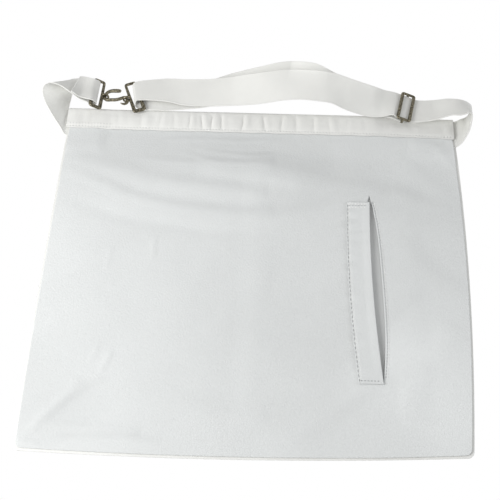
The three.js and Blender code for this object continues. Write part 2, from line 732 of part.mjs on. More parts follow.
const apron = new THREE.Group();
apron.add(
  piece('front_panel', frontPanel(), materials.leather),
  piece('back_panel', backPanel(), materials.lining),
  piece('pocket_bag', pocketBag(), materials.pocketing),
  piece('pocket_welt', pocketWelt(), materials.lining),
  piece('waistband', waistband(), materials.band),
);

const belt = new THREE.Group();
belt.add(
  piece('strap_left', strapLeft(), materials.webbing),
  piece('strap_right', strapRight(), materials.webbing),
  laid(piece('slider', sliderGeometry(), materials.metal), slide),
  laid(piece('hook_loop_left', loopGeometry(1), materials.metal), leftLoop),
  laid(piece('hook_loop_right', loopGeometry(-1), materials.metal), rightLoop),
  piece('snake_hook', snakeHook(), materials.metal),
);
apron.add(belt);

export default apron;
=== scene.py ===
"""A masonic apron laid face down, belt behind the waistband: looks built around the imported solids."""
import math

import bmesh
import bpy
import numpy as np
from mathutils import Matrix, Vector


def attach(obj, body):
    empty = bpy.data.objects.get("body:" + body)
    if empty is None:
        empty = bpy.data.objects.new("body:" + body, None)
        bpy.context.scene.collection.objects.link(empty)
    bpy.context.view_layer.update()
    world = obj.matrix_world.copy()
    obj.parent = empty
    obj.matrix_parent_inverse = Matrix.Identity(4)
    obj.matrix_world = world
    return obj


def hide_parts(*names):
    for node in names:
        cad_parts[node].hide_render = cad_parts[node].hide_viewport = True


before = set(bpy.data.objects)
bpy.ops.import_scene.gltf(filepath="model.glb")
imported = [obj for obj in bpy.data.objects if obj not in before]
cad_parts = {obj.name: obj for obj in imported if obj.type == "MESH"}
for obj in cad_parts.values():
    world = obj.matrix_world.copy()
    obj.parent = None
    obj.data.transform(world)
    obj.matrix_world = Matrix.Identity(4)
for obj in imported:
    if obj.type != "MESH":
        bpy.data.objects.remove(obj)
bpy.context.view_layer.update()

MM = 0.001

# Cloth and leather, in millimetres
APRON_WIDTH = 406
APRON_HEIGHT = 356
CORNER_RADIUS = 5
FACE_THICKNESS = 1.3
LINING_THICKNESS = 1.0
RIM_WIDTH = 2.2
LAYER_GAP = 0.3

# Pocket
SLIT_LENGTH = 193
SLIT_SLANT = 2.5
SLIT_OPEN_RIGHT = 5.8
SLIT_OPEN_LEFT = 3.5
SLIT_UNDER_WELT = 4
WELT_WIDTH = 22.5
WELT_LENGTH = 187
WELT_THICKNESS = 1.2
WELT_LIP = 1.2
WELT_DROP = 5
BAG_THICKNESS = 0.8
BAG_WIDTH = 112
BAG_MARGIN = 9

# Waistband
BAND_HEIGHT = 25
BAND_WALL = 1.2
BAND_TOP_HEIGHT = 6
BAND_END_DROP = 2.5

# Belt
BELT_WIDTH = 33
BELT_THICKNESS = 1.3
BELT_ROOT_LENGTH = 27
ARCH_HEIGHT = 27
CURL_HEIGHT = 18

# Slider
SLIDER_LENGTH = 39.5
SLIDER_WIDTH = 16
SLIDER_BAR = 3.6
SLIDER_END_BAR = 2.9
SLIDER_THICKNESS = 2
SLIDER_CORNER = 3.1
MIDDLE_BAR_WIDTH = 2.4
MIDDLE_BAR_THICKNESS = 1.2

# Hook loops and the snake hook
LOOP_LENGTH = 43
LOOP_WIDTH = 13
LOOP_BAR = 2.6
LOOP_THICKNESS = 2.4
LOOP_CORNER = 3.2
EYE_RADIUS = 3.4
EYE_WIRE = 2.2
SNAKE_WIRE = 3.4
LEFT_LOOP_RISE = 9.6
LEFT_LOOP_TILT = -13.7
LEFT_LOOP_TURN = -1
LEFT_LOOP_ROLL = 30
RIGHT_LOOP_RISE = 6.3
HARDWARE_TILT = -8
SLIDER_TILT = -10
SLIDER_TURN = 12.5
SLIDER_ROLL = 12
RIGHT_LOOP_TURN = -21
CLOTH_CELL = 15
CAST_SWELL = 0.15
LOOP_FLARE = 0.45

HALF_WIDTH = APRON_WIDTH / 2
HALF_HEIGHT = APRON_HEIGHT / 2
LINING_BOTTOM = FACE_THICKNESS + LAYER_GAP
ROOT_HEIGHT = FACE_THICKNESS + LAYER_GAP * 1.5 + BELT_THICKNESS / 2
ROOT_LIFT = BELT_THICKNESS + LAYER_GAP * 1.5
BAG_LIFT = BAG_THICKNESS + LAYER_GAP


def lerp(low, high, share):
    return low + (high - low) * share


def smoothstep(value, low, high):
    share = np.clip((value - low) / (high - low), 0, 1)
    return share * share * (3 - 2 * share)


def plateau(value, low, high, fade):
    return smoothstep(value, low - fade, low) * (1 - smoothstep(value, high, high + fade))


def bell(distance, spread):
    return np.exp(-((distance / spread) ** 2))


def grid(columns, rows):
    return np.meshgrid(columns, rows, indexing="ij")


def add_object(name, data):
    made = bpy.data.objects.new(name, data)
    bpy.context.scene.collection.objects.link(made)
    return made


# Camera: the photograph's viewing angle
CAMERA_AZIMUTH = -3.536
CAMERA_TILT = 25.681
CAMERA_ROLL = 1.468
CAMERA_TARGET = (-0.002241, 0.019727, 0)
CAMERA_DISTANCE = 0.831373
CAMERA_LENS = 61.2
CAMERA_SENSOR = 36


def add_camera():
    azimuth, tilt, roll = (math.radians(a) for a in (CAMERA_AZIMUTH, CAMERA_TILT, CAMERA_ROLL))
    ahead = math.sin(tilt)
    forward = Vector((ahead * math.sin(azimuth), ahead * math.cos(azimuth), -math.cos(tilt)))
    level = Vector((math.cos(azimuth), -math.sin(azimuth), 0))
    down = forward.cross(level)
    right = math.cos(roll) * level + math.sin(roll) * down
    lower = -math.sin(roll) * level + math.cos(roll) * down
    data = bpy.data.cameras.new("camera")
    data.lens = CAMERA_LENS
    data.sensor_width = CAMERA_SENSOR
    camera = add_object("camera", data)
    place = Vector(CAMERA_TARGET) - forward * CAMERA_DISTANCE
    turned = Matrix((right, -lower, -forward)).transposed()
    camera.matrix_world = Matrix.Translation(place) @ turned.to_4x4()
    bpy.context.scene.camera = camera


add_camera()


# Curve through points, as the solids use: centripetal, or evenly spaced
SHORTEST = 1e-4


def spline(points, stops, centripetal=True):
    points = np.asarray(points, float)
    count = len(points)
    padded = np.vstack([2 * points[0] - points[1], points, 2 * points[-1] - points[-2]])
    index = np.minimum(np.floor(stops).astype(int), count - 2)
    t = (stops - index)[:, None]
    p0, p1, p2, p3 = (padded[index + k] for k in range(4))
    if centripetal:
        pairs = ((p0, p1), (p1, p2), (p2, p3))
        d0, d1, d2 = (np.linalg.norm(b - a, axis=1, keepdims=True) ** 0.5 for a, b in pairs)
        d1 = np.where(d1 < SHORTEST, 1.0, d1)
        d0 = np.where(d0 < SHORTEST, d1, d0)
        d2 = np.where(d2 < SHORTEST, d1, d2)
        t1 = ((p1 - p0) / d0 - (p2 - p0) / (d0 + d1) + (p2 - p1) / d1) * d1
        t2 = ((p2 - p1) / d1 - (p3 - p1) / (d1 + d2) + (p3 - p2) / d2) * d1
    else:
        t1, t2 = (p2 - p0) / 2, (p3 - p1) / 2
    c2 = -3 * p1 + 3 * p2 - 2 * t1 - t2
    c3 = 2 * p1 - 2 * p2 + t1 + t2
    return p1 + t1 * t + c2 * t ** 2 + c3 * t ** 3


def run_along(points):
    """Length along a line of points, from its first point to each."""
    return np.concatenate([[0], np.cumsum(np.linalg.norm(np.diff(points, axis=0), axis=1))])


# Outline of the panel
OUTLINE = {
    "top_left": (-0.978, 0.99),
    "top_right": (1.005, 0.97),
    "bottom_right": (0.99, -0.986),
    "bottom_left": (-1.005, -1.028),
    "left_bow": 0.0045,
    "right_bow": 0.0163,
    "bottom_bow": 0.012,
}


def band_top_at(x):
    return HALF_HEIGHT + LAYER_GAP * 2 - BAND_END_DROP * smoothstep(x, HALF_WIDTH * 0.6, HALF_WIDTH)


def panel_edges(v, inset):
    """x of the left and right edge at a share v of the way up."""
    def corner(name):
        return (HALF_WIDTH - inset) * OUTLINE[name][0]
    bow = APRON_WIDTH * 4 * v * (1 - v)
    left = lerp(corner("bottom_left"), corner("top_left"), v) - OUTLINE["left_bow"] * bow
    right = lerp(corner("bottom_right"), corner("top_right"), v) + OUTLINE["right_bow"] * bow
    return left, right


def bottom_edge(u, inset):
    left = (HALF_HEIGHT - inset) * OUTLINE["bottom_left"][1]
    right = (HALF_HEIGHT - inset) * OUTLINE["bottom_right"][1]
    return lerp(left, right, u) - OUTLINE["bottom_bow"] * APRON_WIDTH * 4 * u * (1 - u)


def panel_points(u, v, inset, top_clearance, middle=None):
    """x and y over the panel; middle bends the columns so that one of them follows the pocket's cut."""
    left, right = panel_edges(v, inset)
    x = lerp(left, right, u)
    bottom = bottom_edge(u, inset)
    y = lerp(bottom, band_top_at(x) - top_clearance, v)
    if middle is not None:
        share, line = middle
        target = line(y)
        before = lerp(left, target, u / share)
        after = lerp(target, right, (u - share) / (1 - share))
        x = np.where(u <= share, before, after)
    side = np.where(x - left < right - x, 1.0, -1.0)
    from_side = CORNER_RADIUS - np.where(side > 0, x - left, right - x)
    from_bottom = CORNER_RADIUS - (y - bottom)
    inside = (from_side > 0) & (from_bottom > 0)
    reach = np.where(inside, np.hypot(from_side, from_bottom), 1.0)
    shrink = np.where(inside, np.maximum(from_side, from_bottom) / reach, 1.0)
    return x + side * from_side * (1 - shrink), y + from_bottom * (1 - shrink)


# Soft folds of the lining: ends as shares of the half sizes, spread and height in millimetres
FOLDS = (
    (-0.98, 0.68, -0.5, 0.52, 11, 1.5),
    (-0.52, 0.53, 0.06, 0.46, 9, 1.3),
    (-0.3, 0.69, 0.3, 0.66, 8, 0.9),
    (0.26, 0.66, 0.56, 0.58, 9, 1.0),
    (-0.28, 0.76, 0.04, 0.75, 4, 0.5),
    (-0.93, -0.93, -0.74, -0.66, 6, 0.9),
    (-0.88, -0.9, -0.46, -0.92, 5, 0.9),
    (0.66, -0.8, 0.95, -0.3, 12, 1.1),
    (0.7, 0.74, 0.98, 0.42, 12, 1.3),
    (-0.2, -0.4, 0.2, 0.1, 16, 0.7),
)

# Fine wrinkles that the solids leave out, in the same columns
WRINKLES = (
    (-0.68, 0.1, -0.69, -0.04, 1.5, 0.75),
    (-0.475, 0.17, -0.475, 0.02, 1.5, 0.75),
    (0.22, 0.17, 0.18, 0.06, 1.6, 0.85),
    (-0.62, -0.5, -0.66, -0.62, 1.7, 0.85),
    (-0.68, -0.46, -0.71, -0.56, 1.5, 0.65),
    (0.4, 0.28, 0.47, 0.36, 2.0, 0.4),
    (0.42, -0.2, 0.48, -0.2, 1.7, 0.3),
    (0.42, -0.36, 0.5, -0.35, 1.7, 0.3),
    (0.43, -0.5, 0.51, -0.48, 1.7, 0.3),
    (0.9, 0.8, 0.99, 0.66, 3.2, 0.9),
    (-0.99, -0.985, -0.9, -0.99, 1.8, 0.8),
)

# Long curved folds and creases: spread, height and the change of painted light and shade along them, then
# their points as shares of the half sizes
CREASES = (
    (7, 1.5, -0.05, ((-1.03, 0.61), (-0.91, 0.57), (-0.78, 0.51), (-0.63, 0.43), (-0.46, 0.38), (-0.26, 0.35),
                     (-0.02, 0.33), (0.23, 0.37), (0.45, 0.44))),
    (8, -1.0, 0.03, ((-0.95, 0.42), (-0.66, 0.3), (-0.4, 0.25), (-0.1, 0.22), (0.1, 0.25))),
    (8, 1.4, -0.045, ((-0.08, 0.7), (0.17, 0.64), (0.37, 0.57), (0.57, 0.53), (0.78, 0.46), (1.0, 0.36))),
    (9, -0.8, 0.035, ((-0.62, 0.62), (-0.34, 0.58), (-0.05, 0.54), (0.2, 0.5), (0.4, 0.46))),
    (2.6, 0.6, -0.035, ((-0.5, 0.8), (-0.29, 0.82), (-0.09, 0.81), (0.07, 0.83), (0.2, 0.85))),
    (2.2, 0.6, -0.04, ((-0.37, 0.77), (-0.21, 0.73), (-0.03, 0.71), (0.1, 0.72), (0.24, 0.69))),
    (2.2, 0.55, -0.04, ((-0.39, 0.73), (-0.23, 0.67), (-0.03, 0.66), (0.08, 0.67))),
    (3.0, 0.6, -0.035, ((-0.62, 0.68), (-0.4, 0.66), (-0.16, 0.66), (0.03, 0.65), (0.22, 0.61))),
    (6, 0.8, -0.05, ((0.66, 0.86), (0.8, 0.85), (0.93, 0.8), (1.02, 0.7))),
    (11, 0.9, -0.035, ((0.69, 0.24), (0.84, 0.02), (1.02, -0.14))),
    (3.5, 0.8, -0.03, ((-0.97, -0.98), (-0.86, -0.83), (-0.74, -0.71), (-0.62, -0.64))),
    (3.0, 0.7, -0.05, ((-0.86, -0.955), (-0.67, -0.945), (-0.54, -0.94), (-0.36, -0.965))),
    (8, 1.0, -0.035, ((0.2, -0.97), (0.36, -0.84), (0.53, -0.69), (0.72, -0.56), (0.84, -0.5))),
    (12, 0.8, -0.02, ((-0.5, -0.7), (-0.2, -0.78), (0.1, -0.8), (0.36, -0.74))),
)

# Light and shade painted onto the lining's colour: the same columns, the last one the change of its
# brightness
LINING_LIGHT_PAINT = (
    (-1.1, 0.76, 0.4, 0.66, 34, -0.09),
    (0.2, 0.62, 1.1, 0.34, 30, -0.05),
    (0.6, -0.35, 1.1, -0.95, 52, 0.12),
    (-1.1, 0.4, -0.9, -0.1, 34, 0.03),
    (-0.62, 0.44, 0.0, 0.38, 13, 0.04),
    (-0.3, 0.6, 0.24, 0.52, 9, 0.04),
    (-1.1, -0.5, -0.8, -1.0, 40, -0.06),
    (-0.3, -0.2, 0.5, -0.5, 60, -0.035),
)

# Light and shade painted onto the belt's colour, in the same columns
BELT_LIGHT_PAINT = (
    (-0.95, 1.04, -0.84, 1.1, 11, -0.14),
    (0.16, 1.25, 0.36, 1.22, 16, 0.21),
    (0.46, 1.2, 0.64, 1.16, 14, 0.09),
    (0.6, 1.1, 0.78, 1.08, 14, -0.08),
    (0.9, 1.06, 1.02, 1.06, 12, 0.08),
    (1.04, 1.1, 1.13, 0.9, 10, -0.05),
)


# The lining's slow waves and its calmer parts, in millimetres
WAVES = ((60, 3, 0.28), (17, 5, 0.05))
DRIFT_WAVES = 7
CALM_FROM = 12
CALM_TO = 2
CALM_OVER_BAG = 0.7


def from_segment(x, y, start, end):
    """The nearest place on a segment, as a share of it, and the distance to it."""
    step_x, step_y = end[0] - start[0], end[1] - start[1]
    share = ((x - start[0]) * step_x + (y - start[1]) * step_y) / (step_x ** 2 + step_y ** 2)
    share = np.clip(share, 0, 1)
    return share, np.hypot(x - start[0] - share * step_x, y - start[1] - share * step_y)


def relief(x, y, table):
    """Adds up the straight folds of a table: a bell across each, which fades at its ends."""
    total = np.zeros_like(x)
    for x0, y0, x1, y1, spread, height in table:
        start, end = (x0 * HALF_WIDTH, y0 * HALF_HEIGHT), (x1 * HALF_WIDTH, y1 * HALF_HEIGHT)
        share, distance = from_segment(x, y, start, end)
        total = total + height * bell(distance, spread) * (1 - (2 * share - 1) ** 4) ** 0.5
    return total


def creased(x, y, column):
    """Adds up the long creases: column 1 is their height, column 2 the light and shade painted along them."""
    total = np.zeros_like(x)
    for crease in CREASES:
        spread, points = crease[0], np.array(crease[3]) * (HALF_WIDTH, HALF_HEIGHT)
        line = spline(points, np.linspace(0, len(points) - 1, 8 * len(points)))
        run = run_along(line)
        nearest, place = np.full(x.shape, np.inf), np.zeros_like(x)
        for index in range(len(line) - 1):
            share, distance = from_segment(x, y, line[index], line[index + 1])
            closer = distance < nearest
            nearest = np.where(closer, distance, nearest)
            place = np.where(closer, lerp(run[index], run[index + 1], share) / run[-1], place)
        total = total + crease[column] * bell(nearest, spread) * np.sin(math.pi * place) ** 0.6
    return total


def drift(x, y, pitch, seed):
    """Slow uneven waves, the same each time."""
    draw = np.random.default_rng(seed)
    total = np.zeros_like(x)
    for _ in range(DRIFT_WAVES):
        angle, phase = draw.uniform(0, math.pi), draw.uniform(0, 2 * math.pi)
        stretch = draw.uniform(0.7, 1.6)
        across = x * math.cos(angle) + y * math.sin(angle)
        total = total + np.sin(across * 2 * math.pi / (pitch * stretch) + phase)
    return total / DRIFT_WAVES


SLIT_X = HALF_WIDTH * 0.588
SLIT_Y = HALF_HEIGHT * -0.083
SLANT = math.radians(SLIT_SLANT)


def slit_point(s, side):
    along = s * SLIT_LENGTH / 2
    return SLIT_X - along * math.sin(SLANT) + side, SLIT_Y + along * math.cos(SLANT)


def slit_line(y):
    return SLIT_X - (y - SLIT_Y) * math.tan(SLANT)


def slit_share(y):
    return (y - SLIT_Y) / (SLIT_LENGTH / 2) / math.cos(SLANT)


def slit_right(s):
    return SLIT_OPEN_RIGHT * (1 - np.clip(np.abs(s), 0, 1) ** 3)


def slit_left(s):
    return -SLIT_OPEN_LEFT * (1 - np.clip(np.abs(s), 0, 1) ** 2)


BAG_LEFT = SLIT_X + BAG_MARGIN + SLIT_OPEN_RIGHT - BAG_WIDTH
BAG_RIGHT = SLIT_X + BAG_MARGIN + SLIT_OPEN_RIGHT
BAG_BOTTOM = SLIT_Y - SLIT_LENGTH / 2 - BAG_MARGIN
BAG_TOP = SLIT_Y + SLIT_LENGTH / 2 + BAG_MARGIN


def lining_base(x, y):
    """Height of the lining's lower side."""
    reach, fade = CLOTH_CELL, CLOTH_CELL * 1.5
    over_bag = BAG_LIFT * plateau(x, BAG_LEFT - reach, BAG_RIGHT + reach, fade)
    over_bag = over_bag * plateau(y, BAG_BOTTOM - reach, BAG_TOP + reach, fade)
    band_edge = HALF_HEIGHT - BAND_HEIGHT
    quiet = 1 - smoothstep(y, band_edge - CALM_FROM, band_edge - CALM_TO)
    by_slit = 1 - CALM_OVER_BAG * plateau(x, BAG_LEFT, BAG_RIGHT, BAG_MARGIN)
    folds = relief(x, y, FOLDS) + relief(x, y, WRINKLES) + creased(x, y, 1)
    waves = sum(height * (1 + drift(x, y, pitch, seed)) for pitch, seed, height in WAVES)
    return LINING_BOTTOM + over_bag + lift_over_roots(x, y) + (folds * by_slit + waves) * quiet


def lift_over_roots(x, y):
    inner = HALF_WIDTH - BELT_ROOT_LENGTH - CLOTH_CELL * 0.6
    near = HALF_HEIGHT - BELT_WIDTH - CLOTH_CELL * 0.7
    lift = ROOT_LIFT * smoothstep(np.abs(x), inner - CLOTH_CELL, inner)
    return lift * smoothstep(y, near - CLOTH_CELL, near)


# Mesh helpers: points come in millimetres
def new_object(name, vertices, faces, uvs=None):
    mesh = bpy.data.meshes.new(name)
    mesh.from_pydata((np.asarray(vertices) * MM).tolist(), [], faces)
    if uvs is not None:
        layer = mesh.uv_layers.new(name="cloth")
        indices = np.empty(len(mesh.loops), dtype=np.int32)
        mesh.loops.foreach_get("vertex_index", indices)
        layer.data.foreach_set("uv", (np.asarray(uvs) * MM)[indices].astype(np.float32).ravel())
    mesh.validate()
    mesh.update()
    mesh.shade_smooth()
    return add_object(name, mesh)


# Paints light and shade onto a mesh's colour, as a point attribute
def paint_light_and_shade(made, light_shade):
    layer = made.data.color_attributes.new(name="light_shade", type="FLOAT_COLOR", domain="POINT")
    colours = np.column_stack([light_shade, light_shade, light_shade, np.ones_like(light_shade)])
    layer.data.foreach_set("color", colours.astype(np.float32).ravel())


def remade(mesh, sources, change=None):
    """Fills a mesh from other meshes or itself, and changes it on the way."""
    work = bmesh.new()
    for source in sources:
        work.from_mesh(source)
    if change:
        change(work)
    work.to_mesh(mesh)
    work.free()


def recalculated(made):
    """Turns every face of a closed mesh outwards."""
    remade(made.data, [made.data], lambda work: bmesh.ops.recalc_face_normals(work, faces=work.faces))
    return made


def applied(made, kind, **settings):
    modifier = made.modifiers.new(kind.lower(), kind)
    for key, value in settings.items():
        setattr(modifier, key, value)
    bpy.context.view_layer.update()
    evaluated = made.evaluated_get(bpy.context.evaluated_depsgraph_get())
    mesh = bpy.data.meshes.new_from_object(evaluated)
    made.modifiers.clear()
    made.data = mesh
    return made


def thickened(made, thickness):
    """Adds thickness above a sheet."""
    return applied(made, "SOLIDIFY", thickness=thickness * MM, offset=1.0, use_even_offset=False)


def grid_faces(columns, rows):
    return [
        (c * rows + r, (c + 1) * rows + r, (c + 1) * rows + r + 1, c * rows + r + 1)
        for c in range(columns - 1)
        for r in range(rows - 1)
    ]


def tube_faces(count, sides, first=0, closed=False):
    """Faces between rings of points; closed joins the last ring to the first one."""
    faces = []
    for ring in range(count if closed else count - 1):
        here, there = first + ring * sides, first + (ring + 1) % count * sides
        for side in range(sides):
            after = (side + 1) % sides
            faces.append((here + side, here + after, there + after, there + side))
    return faces


def thick_sheet(name, x, y, z, thickness, uvs=None, light_paint_table=None):
    """A sheet whose lower side is the given surface, a grid of points."""
    vertices = np.column_stack([x.ravel(), y.ravel(), z.ravel()])
    made = new_object(name, vertices, grid_faces(*x.shape), vertices[:, :2] if uvs is None else uvs)
    # Light and shade painted onto the sheet from a table, when one is given
    if light_paint_table is not None:
        paint_light_and_shade(made, 1 + relief(vertices[:, 0], vertices[:, 1], light_paint_table))
    return thickened(made, thickness)


def loft(name, rings, uvs=None):
    """Closed body through rings of points, capped by strips at both ends."""
    count, sides = rings.shape[:2]
    faces = tube_faces(count, sides)
    last = (count - 1) * sides
    for side in range(sides // 2 - 1):
        opposite = sides - 1 - side
        faces.append((side, opposite, opposite - 1, side + 1))
        faces.append((last + side, last + side + 1, last + opposite - 1, last + opposite))
    return recalculated(new_object(name, rings.reshape(-1, 3), faces, uvs))


def closed_sweep(name, rings):
    faces = tube_faces(*rings.shape[:2], closed=True)
    return recalculated(new_object(name, rings.reshape(-1, 3), faces))


def unit(vectors):
    return vectors / np.linalg.norm(vectors, axis=-1, keepdims=True)


# Seats of the hardware
def direction(tilt, turn):
    lean, swing = math.radians(tilt), math.radians(turn)
    return np.array([math.sin(swing) * math.cos(lean), math.cos(swing) * math.cos(lean), math.sin(lean)])


class Seat:
    def __init__(self, x, y, z, tilt, turn, roll=0):
        swing, twist = math.radians(turn), math.radians(roll)
        level = np.array([math.cos(swing), -math.sin(swing), 0])
        self.origin = np.array([x, y, z], float)
        self.long = direction(tilt, turn)
        self.short = level * math.cos(twist) - np.cross(level, self.long) * math.sin(twist)
        self.up = np.cross(self.short, self.long)

    def at(self, a, b, c):
        return self.origin + a * self.short + b * self.long + c * self.up


BAND_TOP = float(band_top_at(np.float64(0)))
LEFT_LOOP = Seat(
    HALF_WIDTH * -0.842, BAND_TOP + LOOP_LENGTH * 0.356, LEFT_LOOP_RISE,
    LEFT_LOOP_TILT, LEFT_LOOP_TURN, LEFT_LOOP_ROLL,
)
RIGHT_LOOP = Seat(
    HALF_WIDTH * -0.648, BAND_TOP + LOOP_LENGTH * 0.34, RIGHT_LOOP_RISE,
    HARDWARE_TILT, RIGHT_LOOP_TURN,
)
RUNNING_LAYER = -LAYER_GAP * 1.5 - BELT_THICKNESS / 2
FOLD_RADIUS = MIDDLE_BAR_THICKNESS / 2 + LAYER_GAP * 2 + BELT_THICKNESS / 2
FOLD_TOP = RUNNING_LAYER - BELT_THICKNESS - LAYER_GAP * 1.5
MIDDLE_BAR = FOLD_TOP - FOLD_RADIUS
FOLD_BOTTOM = MIDDLE_BAR - FOLD_RADIUS
SLIDER_CLEARANCE = 3.3
SLIDER_RISE = BELT_THICKNESS / 2 - FOLD_BOTTOM + SLIDER_CLEARANCE
BELT_SHIFT = 0.5
SLIDE = Seat(
    HALF_WIDTH * 0.761, BAND_TOP + SLIDER_LENGTH * 0.17, SLIDER_RISE,
    SLIDER_TILT, SLIDER_TURN, SLIDER_ROLL,
)

# Belt rows: along and back as shares of the half width and the belt width, rise as a share, tilt, turn, share
RIGHT_CURL = (
    (0.872, -0.615, 0, 0, 0, 0.95),
    (0.94, -0.615, 0, 0, 0, 0.95),
    (1.008, -0.615, 0, 0, 0, 0.95),
    (1.044, -0.509, 0.093, -5, 3, 0.97),
    (1.069, -0.378, 0.192, -17, 8, 1),
    (1.085, -0.22, 0.351, -24, 9, 1),
    (1.095, -0.014, 0.495, -33, 11, 1),
    (1.094, 0.117, 0.616, -38, 11, 1),
    (1.081, 0.147, 0.739, -37, 9, 1),
    (1.055, 0.108, 0.862, -30, 7, 1),
    (1.026, 0.097, 0.881, -25, 6, 1),
    (0.997, 0.143, 0.778, -24, 9, 1),
    (0.966, 0.151, 0.663, -20, 9, 1),
    (0.93, 0.146, 0.5, -17, 9, 1),
    (0.89, 0.13, 0.4, -14, 10, 1),
)
UPPER_ARCH = (
    (0.638, 0.345, 0.13, 6, 12, 1),
    (0.564, 0.34, 0.315, 23, 11, 1),
    (0.463, 0.355, 0.65, 27, 7, 1),
    (0.374, 0.43, 0.91, 17, 2, 1),
    (0.293, 0.457, 0.985, 16, 0, 1),
    (0.207, 0.51, 0.95, 14, 0, 1),
    (0.118, 0.51, 0.87, 19, 0, 1),
    (0.03, 0.49, 0.72, 24, 0, 1),
    (-0.059, 0.54, 0.485, 20, 0, 1),
    (-0.148, 0.61, 0.235, 11, 0, 1),
    (-0.261, 0.625, 0.08, 6, 0, 1),
    (-0.379, 0.64, 0.035, 2, 0, 1),
    (-0.493, 0.73, 0.01, -8, -2, 1),
)
LOWER_ARCH = (
    (-0.49, 0.43, 0.05, -8, 0, 1),
    (-0.389, 0.54, 0.02, -5, 0, 1),
    (-0.261, 0.7, 0.05, 3, 0, 1),
    (-0.158, 0.9, 0.107, 9, 0, 1),
    (-0.069, 0.965, 0.27, 14, 0, 1),
    (0.025, 1.01, 0.46, 18, 0, 1),
    (0.118, 1.06, 0.64, 18, 0, 1),
    (0.222, 1.045, 0.735, 16, 0, 1),
    (0.3, 1.01, 0.66, 16, 1, 1),
    (0.389, 0.82, 0.46, 14, 3, 1),
    (0.483, 0.62, 0.275, 8, 7, 1),
    (0.576, 0.48, 0.15, 0, 10, 1),
    (0.66, 0.4, 0.09, -6, 13, 0.97),
)
LEFT_CURL = (
    (-0.872, -0.525, 0, 0, 0, 0.93),
    (-0.93, -0.525, 0, 0, 0, 0.93),
    (-0.988, -0.525, 0, 0, 0, 0.93),
    (-1.003, -0.299, 0.081, -7, 10, 0.97),
    (-1.02, -0.058, 0.201, -16, 24, 1),
    (-1.032, 0.127, 0.378, -19, 40, 1),
    (-1.039, 0.274, 0.616, -17, 56, 1),
    (-1.044, 0.433, 0.761, -18, 66, 1),
    (-1.043, 0.573, 0.836, -28, 61, 1),
    (-1.038, 0.683, 0.833, -39, 47, 1),
    (-1.03, 0.743, 0.796, -43, 32, 1),
    (-1.008, 0.779, 0.654, -41, 13, 1),
    (-0.957, 0.701, 0.531, -26, 6, 1),
    (-0.92, 0.637, 0.38, -15, 3, 1),
)
ARCH_BASE = BAND_TOP_HEIGHT + 0.5
LOWER_BASE = 2.6
LOOP_BAR_PLACE = (LOOP_WIDTH - LOOP_BAR) / 2
LOOP_FOLD_RADIUS = math.hypot(LOOP_BAR, LOOP_THICKNESS) / 2 + BELT_THICKNESS / 2 + LAYER_GAP * 0.6
WRAP_STEPS = 6
FOLD_SLIP = -6.6
LEFT_FOLD_REACH = 3
RIGHT_FOLD_REACH = 2.4
RIGHT_FOLD_SHIFT = 4.6
RIGHT_FOLD_TURN = 9
SLIDE_SHARES = (0.6, 0, -0.52, -0.75)
SEWN_LIFTS = (3.0, 2.8)
BELT_STEP = 1.2
BELT_RIPPLES = ((0.12, 23.0, 1.0), (0.08, 9.1, 0))
RIPPLE_FADE = 20
RIPPLE_SHARE = 0.8


def belt_rows(table, base, height):
    rows = []
    for along, back, rise, tilt, turn, share in table:
        middle = np.array([along * HALF_WIDTH, BAND_TOP + back * BELT_WIDTH, base + rise * height])
        rows.append((middle, direction(tilt, turn), share))
    return rows


def belt_on(seat, short, along, up, share):
    return seat.at(short, along, up), seat.long, share


def fold_round(seat, short, up, radius, along, start, stop, share, slip=0):
    steps = np.linspace(0, 1, WRAP_STEPS + 1)
    angles = np.radians(lerp(start, stop, steps))
    return [
        belt_on(seat, short + radius * math.cos(a), along + slip * k, up + radius * math.sin(a), share)
        for a, k in zip(angles, steps)
    ]


def right_strap_sections():
    fold_place = RIGHT_LOOP.at(LOOP_BAR_PLACE - RIGHT_FOLD_REACH, RIGHT_FOLD_SHIFT, 0)
    fold = Seat(*fold_place, HARDWARE_TILT, RIGHT_LOOP_TURN + RIGHT_FOLD_TURN)
    middle_bar = MIDDLE_BAR_WIDTH / 4
    return [
        *belt_rows(RIGHT_CURL, ROOT_HEIGHT, CURL_HEIGHT),
        *[belt_on(SLIDE, SLIDER_WIDTH * share, BELT_SHIFT, RUNNING_LAYER, 1) for share in SLIDE_SHARES],
        *belt_rows(UPPER_ARCH, ARCH_BASE, ARCH_HEIGHT),
        *fold_round(fold, 0, 0, LOOP_FOLD_RADIUS, 0, 90, 270, 0.8, FOLD_SLIP),
        *belt_rows(LOWER_ARCH, LOWER_BASE, ARCH_HEIGHT),
        belt_on(SLIDE, SLIDER_WIDTH * -0.6, BELT_SHIFT, FOLD_BOTTOM, 0.95),
        *fold_round(SLIDE, middle_bar, MIDDLE_BAR, FOLD_RADIUS, BELT_SHIFT, 270, 450, 0.95),
        belt_on(SLIDE, SLIDER_WIDTH * -0.45, BELT_SHIFT, FOLD_TOP, 0.95),
    ]


def left_strap_sections():
    fold_middle = LEFT_FOLD_REACH - LOOP_BAR_PLACE
    start = 270 + LEFT_LOOP_ROLL
    sewn = [
        belt_rows((row,), ROOT_HEIGHT + lift * BELT_THICKNESS, CURL_HEIGHT)[0]
        for row, lift in zip(LEFT_CURL[::-1], SEWN_LIFTS)
    ]
    return [
        *belt_rows(LEFT_CURL, ROOT_HEIGHT, CURL_HEIGHT),
        *fold_round(LEFT_LOOP, fold_middle, 0, LOOP_FOLD_RADIUS, BELT_SHIFT, start, 450, 1),
        belt_on(LEFT_LOOP, -LOOP_BAR_PLACE - LOOP_BAR / 2, BELT_SHIFT, LOOP_FOLD_RADIUS, 1),
        *sewn,
    ]


